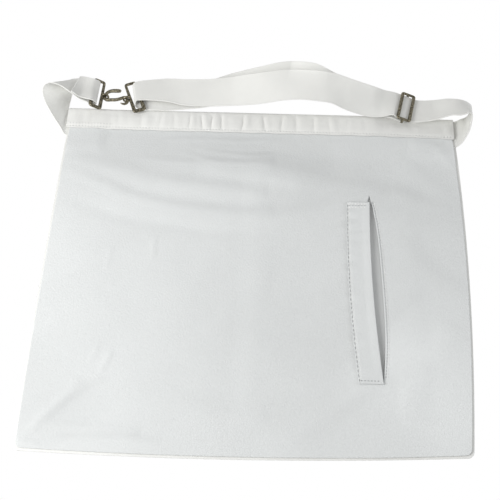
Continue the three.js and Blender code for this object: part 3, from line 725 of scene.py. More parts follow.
# Section of the webbing: across from -1 to 1, and thickness as a share
WEB_ACROSS = np.array([-1, -0.995, -0.975, -0.95, -0.92, -0.88, -0.8, -0.6, -0.4, -0.2, 0])
WEB_ACROSS = np.concatenate([WEB_ACROSS, -WEB_ACROSS[-2::-1]])
WEB_THICK = np.array([0.35, 0.75, 1.0, 1.02, 0.86, 0.8, 0.86, 0.9, 0.9, 0.9, 0.9])
WEB_THICK = np.concatenate([WEB_THICK, WEB_THICK[-2::-1]])


def webbing(name, sections):
    """Lofts the webbing through sections: middle, direction across and share of the width."""
    middles, acrosses, shares = ([section[k] for section in sections] for k in range(3))
    stops = []
    for index in range(len(sections) - 1):
        span = float(np.linalg.norm(middles[index + 1] - middles[index]))
        steps = max(2, round(span / BELT_STEP))
        stops.extend(index + np.arange(steps) / steps)
    stops = np.array(stops + [len(sections) - 1.0])
    middle = spline(middles, stops)
    tiny = 1e-3
    ahead = spline(middles, np.clip(stops + tiny, 0, len(sections) - 1))
    along = unit(ahead - spline(middles, np.clip(stops - tiny, 0, None)))
    across = unit(spline(acrosses, stops, centripetal=False))
    up = unit(np.cross(along, across))
    width = BELT_WIDTH * np.interp(stops, np.arange(len(shares)), shares)
    length = run_along(middle)
    ripple = sum(height * np.sin(length / pitch + phase) for height, pitch, phase in BELT_RIPPLES)
    ends = np.clip(np.minimum(length, length[-1] - length) / RIPPLE_FADE, 0, 1)
    top, bottom = [], []
    for s, thick in zip(WEB_ACROSS, WEB_THICK):
        line = middle + across * (s * width / 2)[:, None]
        wave = (ripple * ends * s ** 2 * RIPPLE_SHARE)[:, None]
        top.append(line + up * (thick * BELT_THICKNESS / 2 + wave))
        bottom.append(line + up * (-thick * BELT_THICKNESS / 2 + wave))
    rings = np.stack(top + bottom[::-1], axis=1)
    v = np.concatenate([WEB_ACROSS, WEB_ACROSS[::-1]]) * BELT_WIDTH / 2
    uvs = np.stack(np.broadcast_arrays(length[:, None], v[None, :]), axis=-1)
    made = loft(name, rings, uvs.reshape(-1, 2))
    flat = rings.reshape(-1, 3)
    # Light and shade painted onto the belt's colour
    paint_light_and_shade(made, 1 + relief(flat[:, 0], flat[:, 1], BELT_LIGHT_PAINT))
    return made, length[-1]


# Materials
class Shader:
    """A new material and the nodes that the cloths, the leather and the metal share."""

    def __init__(self, name, colour, roughness, metallic=0.0, sheen=0.0, specular=0.3):
        self.colour = colour
        self.material = bpy.data.materials.new(name)
        self.material.use_nodes = True
        self.tree = self.material.node_tree
        self.base = self.tree.nodes["Principled BSDF"]
        self.fill(self.base, {
            "Base Color": (*colour, 1),
            "Roughness": roughness,
            "Metallic": metallic,
            "Sheen Weight": sheen,
            "Sheen Roughness": 0.5,
            "Specular IOR Level": specular,
        })

    def fill(self, node, inputs):
        """Sets a node's inputs, by name or number, to values or to other nodes' outputs."""
        for key, value in inputs.items():
            if isinstance(value, bpy.types.NodeSocket):
                self.tree.links.new(value, node.inputs[key])
            else:
                node.inputs[key].default_value = value
        return node

    def add(self, kind, inputs=None, operation=None):
        node = self.tree.nodes.new("ShaderNode" + kind)
        if operation:
            node.operation = operation
        return self.fill(node, inputs or {})

    def calculated(self, operation, *values):
        return self.add("Math", dict(enumerate(values)), operation).outputs[0]

    def raised(self, height, more, share):
        return self.calculated("ADD", height, self.calculated("MULTIPLY", more, share))

    def threads(self, coordinate, period):
        """Rounded threads side by side along one coordinate, from 0 to 1."""
        turns = self.calculated("MULTIPLY", coordinate, math.pi / (period * MM))
        return self.calculated("ABSOLUTE", self.calculated("SINE", turns))

    def noise(self, vector, scale, detail):
        return self.add("TexNoise", {"Scale": scale, "Detail": detail, "Vector": vector}).outputs["Fac"]

    def ramp(self, value, low, high, dark, bright):
        """Dark up to the low value, bright from the high one."""
        node = self.add("ValToRGB", {"Fac": value})
        for element, position, colour in zip(node.color_ramp.elements, (low, high), (dark, bright)):
            element.position = position
            element.color = (*colour, 1)
        return node.outputs["Color"]

    def mottled(self, vector, scale, spread):
        """The base colour with soft uneven patches, and the patches."""
        patches = self.noise(vector, scale, 3)
        dark = [c * (1 - spread) for c in self.colour]
        bright = [min(1, c * (1 + spread)) for c in self.colour]
        return self.ramp(patches, 0.3, 0.7, dark, bright), patches

    def lit_by_paint(self, tint):
        """A colour times the light and shade that are painted on the mesh."""
        light_shade = self.add("Attribute")
        light_shade.attribute_name = "light_shade"
        return self.add("VectorMath", {0: tint, 1: light_shade.outputs["Color"]}, "MULTIPLY").outputs[0]

    def cut_place(self):
        """The cut's own coordinates: both, along and across."""
        place = self.add("UVMap")
        place.uv_map = "cloth"
        split = self.add("SeparateXYZ", {0: place.outputs["UV"]})
        return place.outputs["UV"], split.outputs["X"], split.outputs["Y"]

    def finished(self, inputs, height, distance, strength=1.0):
        """Links the base's inputs and bumps it by a height."""
        bump = self.add("Bump", {"Strength": strength, "Distance": distance, "Height": height})
        self.fill(self.base, {**inputs, "Normal": bump.outputs["Normal"]})
        return self.material


def cloth(name, colour, pitch, depth, uneven=0.0, grain=0.0, shade_painted=False):
    """Woven cloth: warp and weft threads from the cut's own coordinates, fibres and soft patches; on request
    its colour is multiplied by the light and shade painted on the mesh.
    """
    make = Shader(name, colour, 0.9, sheen=0.15, specular=0.15)
    place, along, across = make.cut_place()
    height = make.calculated("MULTIPLY", make.threads(along, pitch[0]), make.threads(across, pitch[1]))
    tint = make.mottled(place, 22, 0.012)[0]
    for scale, detail, share in ((900, 2, 0.5), (60, 4, uneven), (520, 2, grain)):
        if share:
            height = make.raised(height, make.noise(place, scale, detail), share)
    return make.finished({"Base Color": make.lit_by_paint(tint) if shade_painted else tint}, height, depth)


def ribbed(name, colour):
    """Ribbed elastic webbing: strong ribs across, fine threads along, its colour times the light and shade
    painted on the mesh.
    """
    make = Shader(name, colour, 0.82, sheen=0.2, specular=0.2)
    place, along, across = make.cut_place()
    height = make.raised(make.threads(along, 1.1), make.threads(across, 0.7), 0.5)
    tint = make.mottled(place, 40, 0.015)[0]
    return make.finished({"Base Color": make.lit_by_paint(tint)}, height, 0.00012)


def hide(name, colour):
    """Smooth leather with a fine pebbled grain."""
    make = Shader(name, colour, 0.5, sheen=0.05, specular=0.4)
    place = make.add("TexCoord").outputs["Object"]
    tint, patches = make.mottled(place, 18, 0.015)
    cells = make.add("TexVoronoi", {"Scale": 900, "Vector": place}).outputs["Distance"]
    return make.finished({"Base Color": tint}, make.raised(cells, patches, 0.6), 0.00012, 0.6)


def cast_metal(name, bright, dark):
    """Antique cast metal: dark and rougher in uneven patches, brighter and smoother between them."""
    make = Shader(name, bright, 0.36, metallic=0.9, specular=0.5)
    noise = make.noise(make.add("TexCoord").outputs["Object"], 650, 4)
    tint = make.ramp(noise, 0.36, 0.68, dark, bright)
    rough = make.calculated("MULTIPLY_ADD", noise, -0.35, 0.6)
    return make.finished({"Base Color": tint, "Roughness": rough}, noise, 0.00015, 0.5)


LINING_COLOUR = (0.715, 0.73, 0.725)
FINE_WEAVE = (0.5, 0.45)
THREAD_TWIST = (0.3, 0.3)
MATERIALS = {
    "leather": hide("white_lambskin", (0.8, 0.8, 0.775)),
    # The lining's and the band's colours are multiplied by the light and shade painted on their meshes
    "lining": cloth("lining_cloth", LINING_COLOUR, FINE_WEAVE, 0.00007, uneven=2.0, grain=4.0, shade_painted=True),
    "welt": cloth("welt_cloth", LINING_COLOUR, FINE_WEAVE, 0.00006, uneven=2.0, grain=2.5),
    "pocketing": cloth("pocket_cloth", (0.68, 0.69, 0.685), (0.6, 0.6), 0.00005),
    "band": cloth("band_cloth", (0.78, 0.78, 0.755), FINE_WEAVE, 0.00005, uneven=1.0, grain=2.0, shade_painted=True),
    "webbing": ribbed("belt_webbing", (0.8, 0.8, 0.77)),
    "metal": cast_metal("antique_metal", (0.42, 0.38, 0.275), (0.045, 0.039, 0.027)),
    "thread": cloth("white_thread", (0.85, 0.85, 0.83), THREAD_TWIST, 0.00003),
    # Dark grey thread: painted shade of needle marks and seam grooves beside the white stitches
    "shade_thread": cloth("shade_thread", (0.3, 0.31, 0.31), THREAD_TWIST, 0.00003),
}


def finish_piece(made, material, replaces=None):
    made.data.materials.clear()
    made.data.materials.append(MATERIALS[material])
    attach(made, "root")
    if replaces:
        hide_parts(replaces)
    return made


# The dressed sheets stay this much inside their solids, in millimetres
FACE_TRIM = 0.02
BAG_TRIM = 0.25
BAG_LIFT_OFF = 0.04
WELT_TRIM = 0.1
BAND_TRIM = 0.12

# How far the lining reaches under the waistband
LINING_TUCK = 4

# Columns and rows of each sheet
FACE_GRID = (110, 90)
LINING_GRID = (150, 160)
BAG_GRID = (60, 110)
WELT_GRID = (34, 220)
BAND_GRID = (640, 22)
BAND_FALL_ROWS = 6
CORNER_STEPS = np.array([0, 0.12, 0.3, 0.5, 0.75])


def panel_lines(count, length):
    corner = CORNER_RADIUS / length
    middle = np.linspace(corner, 1 - corner, count + 1)
    near = corner * CORNER_STEPS
    return np.concatenate([near, middle, 1 - near[::-1]])


# Leather face
def leather_face():
    u, v = grid(panel_lines(FACE_GRID[0], APRON_WIDTH), panel_lines(FACE_GRID[1], APRON_HEIGHT))
    x, y = panel_points(u, v, 0, BAND_WALL + LAYER_GAP * 1.8)
    made = thick_sheet("leather_face", x, y, np.zeros_like(x) + FACE_TRIM, FACE_THICKNESS - FACE_TRIM * 2)
    return finish_piece(made, "leather", "front_panel")


# Lining: two copies of the column along the pocket's cut, which part between its ends
CUT_SHARE = 0.79
CUT_REACH = 14
HEM = (0.9, 2.2)
HEM_GROOVE = (0.35, 3.2, 1.1)


def lining_side(lines, rows, offset, hemmed):
    """x, y and z of the lining on one side of the cut, whose edge is moved by an offset."""
    u, v = grid(lines, rows)
    x, y = panel_points(u, v, RIM_WIDTH, BAND_HEIGHT - LINING_TUCK, (CUT_SHARE, slit_line))
    s = slit_share(y)
    beside = np.abs(s) < 1
    x = x + np.where(beside, offset(s), 0) * np.exp(-np.abs(x - slit_line(y)) / CUT_REACH)
    z = lining_base(x, y)
    if hemmed:
        inward = x - slit_line(y) - offset(s)
        hem = HEM[0] * bell(inward, HEM[1]) - HEM_GROOVE[0] * bell(inward - HEM_GROOVE[1], HEM_GROOVE[2])
        z = z + hem * np.where(beside, 1 - s ** 4, 0)
    return x, y, z


def under_welt(s):
    return slit_left(s) - SLIT_UNDER_WELT * (1 - np.clip(np.abs(s), 0, 1) ** 8)


def cloth_lining():
    lines, rows = panel_lines(LINING_GRID[0], APRON_WIDTH), panel_lines(LINING_GRID[1], APRON_HEIGHT)
    left_lines = np.append(lines[lines < CUT_SHARE - 0.001], CUT_SHARE)
    right_lines = np.append(CUT_SHARE, lines[lines > CUT_SHARE + 0.001])
    left = lining_side(left_lines, rows, under_welt, False)
    right = lining_side(right_lines, rows, slit_right, True)
    vertices = np.vstack([np.column_stack([p.ravel() for p in half]) for half in (left, right)])
    shared = np.abs(slit_share(left[1][-1])) >= 1
    row_count, left_count = len(rows), left[0].size
    last = left_count - row_count
    faces = grid_faces(len(left_lines), row_count)
    for face in grid_faces(len(right_lines), row_count):
        faces.append(tuple(last + i if i < row_count and shared[i] else left_count + i for i in face))
    made = new_object("cloth_lining", vertices, faces, vertices[:, :2])
    x, y = vertices[:, 0], vertices[:, 1]
    # Light and shade painted onto the lining's colour, and along its creases
    paint_light_and_shade(made, 1 + relief(x, y, LINING_LIGHT_PAINT) + creased(x, y, 2))

    def without_loose(work):
        loose = [vertex for vertex in work.verts if not vertex.link_faces]
        bmesh.ops.delete(work, geom=loose, context="VERTS")

    remade(made.data, [made.data], without_loose)
    return finish_piece(thickened(made, LINING_THICKNESS), "lining", "back_panel")


def pocket_lining():
    x, y = grid(np.linspace(BAG_LEFT, BAG_RIGHT, BAG_GRID[0]), np.linspace(BAG_BOTTOM, BAG_TOP, BAG_GRID[1]))
    z = LINING_BOTTOM + BAG_LIFT_OFF + 0.08 * (1 + drift(x, y, 12, 9))
    made = thick_sheet("pocket_lining", x, y, z, BAG_THICKNESS - BAG_TRIM)
    return finish_piece(made, "pocketing", "pocket_bag")


# Welt: its seams lie this far from its outer side and its lower end, in millimetres
WELT_SEAM_SIDE = 1.7
WELT_SEAM_END = 184.6
WELT_SEAM_SPREAD = 0.9
WELT_SEAM_SHARE = 0.4


def welt_points(u, v):
    s = (lerp(-1, 1, v) * WELT_LENGTH - WELT_DROP * 2) / SLIT_LENGTH
    x, y = slit_point(s, slit_left(s) - WELT_WIDTH * (1 - u))
    lip = WELT_LIP * smoothstep(u, 0.6, 1) * np.clip(1 - s ** 4, 0, 1)
    from_side, from_end = u * WELT_WIDTH, v * WELT_LENGTH
    seam = 1.1 * bell(from_side - WELT_SEAM_SIDE, WELT_SEAM_SPREAD)
    seam = seam + 0.9 * bell(from_end - WELT_SEAM_END, WELT_SEAM_SPREAD)
    pucker = 0.22 * bell(from_side, 6) * (np.sin(y / 2.3) + np.sin(y / 3.7 + 1))
    near_top = smoothstep(v, 0.55, 0.85) * (1 - smoothstep(u, 0.3, 1))
    pucker = pucker + 0.28 * np.sin(y / 1.9 + np.sin(u * 5)) * near_top
    bottom = lining_base(x, y) + LINING_THICKNESS + LAYER_GAP * 1.5
    return x, y, bottom + lip - seam * WELT_SEAM_SHARE + pucker


def welt():
    u, v = grid(np.linspace(0, 1, WELT_GRID[0]), np.linspace(0, 1, WELT_GRID[1]))
    uvs = np.column_stack([(u * WELT_WIDTH).ravel(), (v * WELT_LENGTH).ravel()])
    made = thick_sheet("welt", *welt_points(u, v), WELT_THICKNESS - WELT_TRIM, uvs)
    return finish_piece(made, "welt", "pocket_welt")


# Waistband section: across and rise as shares
BAND_ACROSS = (0, 0.14, 0.34, 0.56, 0.77, 0.92)
BAND_RISE = (0, 0.5, 0.9, 1, 0.86, 0.5)

# Gathers of the waistband: place as a share of the half width, lean, spread and depth in millimetres
GATHERS = (
    (-0.86, 3, 3.0, 0.25), (-0.72, -3, 2.5, 0.35), (-0.6, 2, 2.4, 0.35), (-0.5, 4, 2.0, 0.45),
    (-0.43, -2, 2.2, 0.4), (-0.35, 3, 1.6, 0.65), (-0.285, -4, 1.7, 0.75), (-0.235, 3, 1.5, 0.7),
    (-0.185, -3, 1.6, 0.75), (-0.075, 4, 1.7, 0.8), (0.035, -3, 1.8, 0.75), (0.125, 3, 1.8, 0.6),
    (0.2, -2, 2.0, 0.5), (0.29, 3, 1.8, 0.5), (0.37, -3, 2.0, 0.45), (0.46, 3, 2.4, 0.35),
    (0.55, -2, 2.4, 0.3), (0.68, 2, 2.6, 0.2), (0.84, -2, 2.6, 0.2), (0.95, 2, 2.4, 0.2),
)

# Where the belt weighs on the band: place as a share of the half width, depth, and its start and end across
BAND_DIPS = ((0.76, 1.1, 0.35, 0.7), (-0.7, 0.5, 0.5, 0.8))
DIP_SPREAD = 26

# The band's sewn grooves: depth, distance from its lower edge and spread in millimetres
BAND_GROOVES = ((0.7, 2.2, 0.8), (0.5, 0, 3))

# Shade painted onto the band's colour near its ends, in the columns of the lining's painted light and shade
BAND_SHADE_PAINT = ((0.55, 0.92, 1.1, 0.92, 30, -0.07), (-1.1, 0.92, -0.7, 0.92, 20, -0.02))


def band_puckers(x, across):
    turns = 2 * math.pi * x / 15
    total = 0.4 * (0.6 * np.sin(turns) + 0.4 * np.sin(turns * 0.62 + 1.3))
    for place, lean, spread, depth in GATHERS:
        centre = place * HALF_WIDTH + lean * 0.6 * (across - 0.4) + 0.25 * np.sin(across * 7 + place * 20)
        total = total - 1.7 * depth * bell(x - centre, 1.15 * spread)
        total = total + 0.8 * depth * bell(x - centre - 2.6 * spread, 1.6 * spread)
    return total


def waistband():
    xs = np.linspace(HALF_WIDTH * -0.985, HALF_WIDTH * 1.005, BAND_GRID[0])
    dense = np.linspace(0, BAND_ACROSS[-1], BAND_GRID[1])
    x, across = grid(xs, dense)
    top = band_top_at(x)
    over_lining = LINING_BOTTOM + LINING_THICKNESS
    inner = HALF_WIDTH - BELT_ROOT_LENGTH
    roots = ROOT_LIFT * smoothstep(np.abs(x), inner - CLOTH_CELL * 1.6, inner - CLOTH_CELL * 0.6)
    base = over_lining + LAYER_GAP * 2.5 + roots
    crown = BAND_TOP_HEIGHT - BAND_WALL - base
    for place, depth, low, high in BAND_DIPS:
        crown = crown - depth * bell(x - HALF_WIDTH * place, DIP_SPREAD) * smoothstep(across, low, high)
    swell = np.sin(math.pi * np.clip(across / BAND_ACROSS[-1], 0, 1)) ** 0.7
    calm = 1 - 0.8 * plateau(x, 128, 200, 12) * smoothstep(across, 0.5, 0.8)
    grooves = sum(depth * bell(across * BAND_HEIGHT - off, spread) for depth, off, spread in BAND_GROOVES)
    z = base + np.interp(dense, BAND_ACROSS, BAND_RISE) * crown
    z = z + band_puckers(x, across) * swell * calm - grooves
    z = np.maximum(z, lerp(over_lining + 0.35, base, 0.3))
    y = top - BAND_HEIGHT + across * (BAND_HEIGHT - BAND_WALL)
    y = y + 0.25 * np.sin(x / 4.7) * (1 - across) ** 4

    # The back wall falls from the band's top edge to the floor
    steps = np.linspace(0, 1, BAND_FALL_ROWS + 1)[1:]
    full_x = np.hstack([x, np.repeat(xs[:, None], BAND_FALL_ROWS, axis=1)])
    full_y = np.hstack([y, top[:, :1] - BAND_WALL * 1.06 + 0 * steps])
    full_z = np.hstack([z, lerp(z[:, -1:] * 0.86, 0.35, steps[None, :])])
    run = np.concatenate([dense * BAND_HEIGHT, BAND_HEIGHT + steps * 5])
    uvs = np.column_stack([full_x.ravel(), np.broadcast_to(run, full_x.shape).ravel()])
    # The band gets painted shade near its ends
    made = thick_sheet("waistband_cloth", full_x, full_y, full_z, BAND_WALL - BAND_TRIM, uvs, BAND_SHADE_PAINT)
    return finish_piece(made, "band", "waistband")


# Hardware
BAR_SIDES = 20
BAR_SQUASH = 0.75
CORNER_POINTS = 9
TORUS_COUNTS = (40, 16)


def circle(count):
    return np.linspace(0, 2 * math.pi, count, endpoint=False)


def rounded_path(width, length, radius, count):
    """Points along a rounded rectangle's middle line and their outward directions."""
    x, y = width / 2 - radius, length / 2 - radius
    points, outward = [], []
    for corner_x, corner_y, start in ((x, -y, -90), (x, y, 0), (-x, y, 90), (-x, -y, 180)):
        for angle in np.radians(np.linspace(start, start + 90, count)):
            way = np.array([math.cos(angle), math.sin(angle), 0])
            points.append(np.array([corner_x, corner_y, 0]) + radius * way)
            outward.append(way)
    return np.array(points), np.array(outward)


def squashed(wave):
    return np.sign(wave) * np.abs(wave) ** BAR_SQUASH


def swept_frame(width, length, bar, end_bar, thickness, corner, flare=0.0):
    """A frame of rounded bars: rings of points all round, with flare the near half grows wider."""
    points, outward = rounded_path(width - bar, length - end_bar, corner - bar / 2, CORNER_POINTS)
    at_end = np.abs(outward[:, 1:2])
    across = lerp(bar, end_bar, at_end) / 2 * (1 + flare * smoothstep(-points[:, 1:2], 0, length / 2))
    angles = circle(BAR_SIDES)
    reach = across * squashed(np.cos(angles))[None, :]
    rings = points[:, None, :] + outward[:, None, :] * reach[:, :, None]
    rings[:, :, 2] += thickness / 2 * squashed(np.sin(angles))[None, :]
    return rings


def torus_rings(radius, wire, middle):
    angles, small = (circle(count) for count in TORUS_COUNTS)
    ring = np.zeros((*TORUS_COUNTS, 3))
    reach = radius + wire / 2 * np.cos(small)[None, :]
    ring[:, :, 0] = np.cos(angles)[:, None] * reach
    ring[:, :, 2] = np.sin(angles)[:, None] * reach
    ring[:, :, 1] = wire / 2 * np.sin(small)[None, :]
    return ring + np.asarray(middle)


def slab(name, low, high):
    xs, ys, zs = zip(low, high)
    corners = np.array([(x, y, z) for x in xs for y in ys for z in zs], float)
    faces = [(0, 1, 3, 2), (4, 6, 7, 5), (0, 4, 5, 1), (2, 3, 7, 6), (0, 2, 6, 4), (1, 5, 7, 3)]
    return recalculated(new_object(name, corners, faces))


def fused(name, parts, seat, voxel=0.2, passes=4):
    """Joins closed parts into one smooth casting and lays it in its seat."""
    mesh = bpy.data.meshes.new(name)
    remade(mesh, [part.data for part in parts])
    for part in parts:
        bpy.data.objects.remove(part)
    made = add_object(name, mesh)
    applied(made, "REMESH", mode="VOXEL", voxel_size=voxel * MM)
    applied(made, "SMOOTH", factor=0.5, iterations=passes)
    if seat is not None:
        basis = Matrix([list(seat.short), list(seat.long), list(seat.up)]).transposed().to_4x4()
        made.data.transform(Matrix.Translation(Vector(seat.origin * MM)) @ basis)
    made.data.shade_smooth()
    return made


def slide_buckle():
    bars = (SLIDER_BAR, SLIDER_END_BAR)
    rings = swept_frame(SLIDER_WIDTH, SLIDER_LENGTH, *bars, SLIDER_THICKNESS, SLIDER_CORNER)
    parts = [closed_sweep("ring", rings + np.array([0, 0, SLIDER_THICKNESS / 2]))]
    bottom = MIDDLE_BAR - MIDDLE_BAR_THICKNESS / 2
    half, leg = MIDDLE_BAR_WIDTH / 2, SLIDER_END_BAR * 0.3
    reach = SLIDER_LENGTH / 2 - SLIDER_END_BAR * 0.62
    low, high = BELT_SHIFT - reach, BELT_SHIFT + reach
    for place in (low, high):
        parts.append(slab("leg", (-half, place - leg, bottom), (half, place + leg, SLIDER_THICKNESS * 0.7)))
    parts.append(slab("bar", (-half, low, bottom), (half, high, bottom + MIDDLE_BAR_THICKNESS)))
    return finish_piece(fused("slide_buckle", parts, SLIDE), "metal", "slider")


EYE_PLACE = LOOP_WIDTH / 2 + EYE_RADIUS - EYE_WIRE * 0.55


def hook_loop(name, seat, side, node):
    swell = CAST_SWELL * 2
    bar, thickness = LOOP_BAR + swell, LOOP_THICKNESS + swell
    rings = swept_frame(LOOP_WIDTH + swell, LOOP_LENGTH + swell, bar, bar, thickness, LOOP_CORNER, LOOP_FLARE)
    eye = torus_rings(EYE_RADIUS, EYE_WIRE, (side * EYE_PLACE, 0, 0))
    made = fused(name, [closed_sweep("ring", rings), closed_sweep("eye", eye)], seat)
    return finish_piece(made, "metal", node)


# Snake hook: along and side as shares of the reach from eye to eye, girth as a share of the wire
SNAKE = (
    (0.635, 0.375, 0.75), (0.6, 0.385, 1.05), (0.5, 0.385, 1.2), (0.36, 0.37, 1.15), (0.2, 0.335, 1.0),
    (0.07, 0.25, 0.95), (0.0, 0.1, 0.95), (0.005, -0.05, 0.95), (0.1, -0.15, 0.95), (0.297, -0.13, 0.95),
    (0.5, -0.1, 0.95), (0.68, -0.03, 0.95), (0.84, 0.06, 0.92), (0.93, 0.07, 0.92), (1.0, 0.0, 0.9),
    (1.05, -0.1, 0.88), (1.04, -0.2, 0.8), (0.95, -0.27, 0.7), (0.84, -0.27, 0.5), (0.77, -0.24, 0.3),
)
SNAKE_RINGS = 150
SNAKE_EYE_STOP = 1.7
SNAKE_EYE = (0.28, 0.5)


def snake():
    start, end = LEFT_LOOP.at(EYE_PLACE, 0, 0), RIGHT_LOOP.at(-EYE_PLACE, 0, 0)
    reach = end - start
    side = np.array([-reach[1], reach[0], 0])
    side = side / np.linalg.norm(side) * np.linalg.norm(reach)
    points = [start + reach * a + side * s for a, s, _ in SNAKE]
    stops = np.linspace(0, len(SNAKE) - 1, SNAKE_RINGS)
    middle = spline(points, stops)
    along = unit(np.gradient(middle, axis=0))
    across = unit(np.column_stack([-along[:, 1], along[:, 0], np.zeros(len(stops))]))
    up = unit(np.cross(along, across))
    girth = np.interp(stops, np.arange(len(SNAKE)), [g for _, _, g in SNAKE])
    girth = girth * (SNAKE_WIRE / 2 + CAST_SWELL)
    flat = 1 - 0.2 * bell(stops - 1.6, 1.2)
    angles = circle(BAR_SIDES)
    rings = middle[:, None, :] + across[:, None, :] * (girth[:, None] * np.cos(angles))[:, :, None]
    rings = rings + up[:, None, :] * ((girth * flat)[:, None] * np.sin(angles))[:, :, None]
    parts = [loft("body", rings)]
    head = np.searchsorted(stops, SNAKE_EYE_STOP)
    for hand in (-1, 1):
        out = across[head] * hand * girth[head] * 0.55
        place = middle[head] + out + up[head] * girth[head] * flat[head] * 0.72
        eye = torus_rings(*SNAKE_EYE, (0, 0, 0)) @ np.array([across[head], up[head], along[head]])
        parts.append(closed_sweep("eye", eye + place))
    return finish_piece(fused("snake", parts, None, voxel=0.14, passes=3), "metal", "snake_hook")


# Stitches: short threads pressed into the cloth, with the girth and the height of their rings
STITCH_SIDES = 6
STITCH_BULGE = (0.35, 0.9, 1.0, 0.9, 0.35)
STITCH_SUNK = (-0.22, 0.02, 0.07, 0.02, -0.22)


def stitch_row(name, points, normals, slot, pitch=3.0, share=0.66, thick=0.36, thread="thread", shift=0.0):
    """A row of stitches along a line of points; shift moves them by a share of their pitch."""
    points, normals = np.asarray(points), np.asarray(normals)
    run = run_along(points)
    rows, sides = len(STITCH_BULGE), STITCH_SIDES
    vertices, faces = [], []
    for index in range(int(run[-1] / pitch - shift)):
        begin = (index + shift) * pitch + pitch * (1 - share) / 2
        at = begin + np.linspace(0, 1, rows) * pitch * share
        centre = np.column_stack([np.interp(at, run, points[:, k]) for k in range(3)])
        normal = unit(np.column_stack([np.interp(at, run, normals[:, k]) for k in range(3)]))
        across = unit(np.cross(unit(np.gradient(centre, axis=0)), normal))
        first = len(vertices)
        for k in range(rows):
            radius = thick * STITCH_BULGE[k]
            for angle in circle(sides):
                lift = normal[k] * (math.sin(angle) * radius * 0.8 + STITCH_SUNK[k])
                vertices.append(centre[k] + across[k] * math.cos(angle) * radius + lift)
        faces += tube_faces(rows, sides, first)
        last = first + (rows - 1) * sides
        faces.append(tuple(first + j for j in range(sides)))
        faces.append(tuple(last + j for j in reversed(range(sides))))
    made = recalculated(new_object(name, np.array(vertices), faces, np.array(vertices)[:, :2]))
    return finish_piece(made, thread)


# Height above the floor from which lines are laid on a piece, in metres
RAY_START = 0.08


def line_through(target, corners, steps):
    """Points on a piece straight below a line through corners, with the piece's normals there."""
    tree = target.evaluated_get(bpy.context.evaluated_depsgraph_get())
    points, normals = [], []
    for start, end in zip(corners, corners[1:]):
        for share in np.linspace(0, 1, steps):
            x, y = lerp(np.array(start), np.array(end), share)
            hit, place, normal, _ = tree.ray_cast(Vector((x * MM, y * MM, RAY_START)), Vector((0, 0, -1)))
            if hit:
                points.append(np.array(place) / MM)
                normals.append(np.array(normal))
    return points, normals


face_piece = leather_face()
lining_piece = cloth_lining()
pocket_piece = pocket_lining()
welt_piece = welt()
band_piece = waistband()
left_belt, left_length = webbing("short_belt", left_strap_sections())
finish_piece(left_belt, "webbing", "strap_left")
right_belt, right_length = webbing("long_belt", right_strap_sections())
finish_piece(right_belt, "webbing", "strap_right")
slide_buckle()
hook_loop("loop_left", LEFT_LOOP, 1, "hook_loop_left")
hook_loop("loop_right", RIGHT_LOOP, -1, "hook_loop_right")
snake()


def band_seam(name, low, high, rise):
    """A row of white stitches near the band's lower edge, with small dark marks between them: painted shade
    where the needle went through.
    """
    xs = np.linspace(low, high, 30)
    line = [(x, float(band_top_at(np.float64(x))) - BAND_HEIGHT + rise) for x in xs]
    seam = line_through(band_piece, line, 30)
    stitches = stitch_row(name, *seam, "band", pitch=3.2, thick=0.42)
    # Dark marks between the stitches: painted shade
    needle_shade = stitch_row(name + "_holes", *seam, "band", pitch=3.2, share=0.26, thread="shade_thread", shift=0.5)
    return [stitches, needle_shade]


def welt_place(u, v):
    return tuple(float(c) for c in welt_points(np.float64(u), np.float64(v))[:2])


def welt_line(u):
    return [welt_place(u, v) for v in np.linspace(0.005, 0.995, 12)]


def welt_cross(v):
    return [welt_place(u, v) for u in (0.06, 0.94)]


def welt_seam(name, corners, thick, pitch=3.0, share=0.66, thread="thread"):
    return stitch_row(name, *line_through(welt_piece, corners, 60), "lining", pitch, share, thick, thread)


def lip_row(name, out, **settings):
    """A row of stitches beside the right edge of the pocket's cut."""
    line = [tuple(float(c) for c in slit_point(s, slit_right(s) + out)) for s in np.linspace(-0.96, 0.96, 14)]
    return stitch_row(name, *line_through(lining_piece, line, 30), "lining", **settings)


band_seams = band_seam("band_stitches", -199, 203, 2.2) + band_seam("band_short_stitches", -199, -150, 5.2)
lip_stitches = lip_row("lip_stitches", 3.2, thick=0.42)
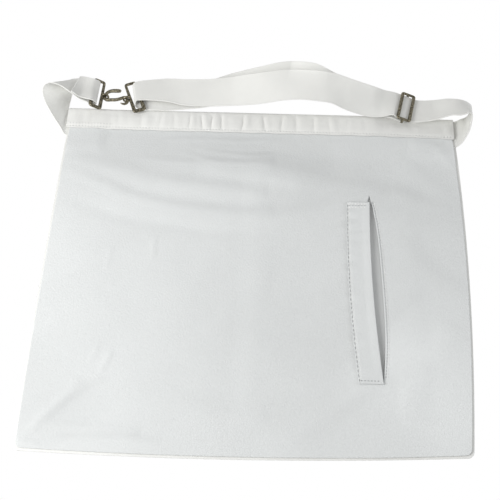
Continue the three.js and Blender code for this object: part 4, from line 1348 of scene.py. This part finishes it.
# A near-continuous dark line beside the lip: painted shade
lip_shade_line = lip_row("lip_shade_line", 1.6, share=0.9, thick=0.26, thread="shade_thread")
welt_seams = [
    # Dark stitches along the welt's outer side: painted shade beside its seam
    welt_seam("welt_side_stitches", welt_line(0.03), 0.32, 4.4, 0.8, "shade_thread"),
    welt_seam("welt_side_thread", welt_line(0.075), 0.34),
    welt_seam("welt_top_stitches", welt_cross(0.988), 0.5),
    # A near-continuous dark line at the welt's top: painted shade
    welt_seam("welt_top_shade_line", welt_cross(0.979), 0.26, share=0.9, thread="shade_thread"),
    welt_seam("welt_inner_stitches", welt_cross(0.968), 0.45),
    # Dark stitches across the welt's lower end: painted shade
    welt_seam("welt_end_stitches", welt_cross(0.015), 0.4, share=0.7, thread="shade_thread"),
]


# Floor, world and lights
FLOOR_REACH = 1500
FLOOR_DROP = 0.2


def add_floor():
    corners = ((-1, -1), (1, -1), (1, 1), (-1, 1))
    vertices = [(x * FLOOR_REACH, y * FLOOR_REACH, -FLOOR_DROP) for x, y in corners]
    made = new_object("floor", vertices, [(0, 1, 2, 3)])
    material = bpy.data.materials.new("floor_paper")
    material.use_nodes = True
    nodes, links = material.node_tree.nodes, material.node_tree.links
    nodes.clear()
    glow = nodes.new("ShaderNodeEmission")
    glow.inputs["Strength"].default_value = 1.0
    output = nodes.new("ShaderNodeOutputMaterial")
    links.new(glow.outputs[0], output.inputs["Surface"])
    made.data.materials.append(material)


def add_light(name, place, target, size, power, colour=(1, 1, 1)):
    data = bpy.data.lights.new(name, "AREA")
    data.shape = "RECTANGLE"
    data.size, data.size_y = size
    data.energy = power
    data.color = colour
    way = Vector(target) - Vector(place)
    turned = way.to_track_quat("-Z", "Y").to_matrix().to_4x4()
    add_object(name, data).matrix_world = Matrix.Translation(Vector(place)) @ turned


def add_world(strength):
    world = bpy.data.worlds.new("studio")
    world.use_nodes = True
    backdrop = world.node_tree.nodes["Background"]
    backdrop.inputs["Color"].default_value = (1, 1, 1, 1)
    backdrop.inputs["Strength"].default_value = strength
    bpy.context.scene.world = world


add_floor()
add_world(0.5)
add_light("key", place=(-0.72, -0.28, 0.6), target=(0.0, 0.05, 0), size=(0.5, 0.5), power=7.6)
add_light("fill", place=(1.0, 0.1, 0.4), target=(0.1, 0.1, 0), size=(0.6, 0.4), power=2.6,
          colour=(0.95, 0.97, 1))
bpy.context.scene.view_settings.view_transform = "Standard"
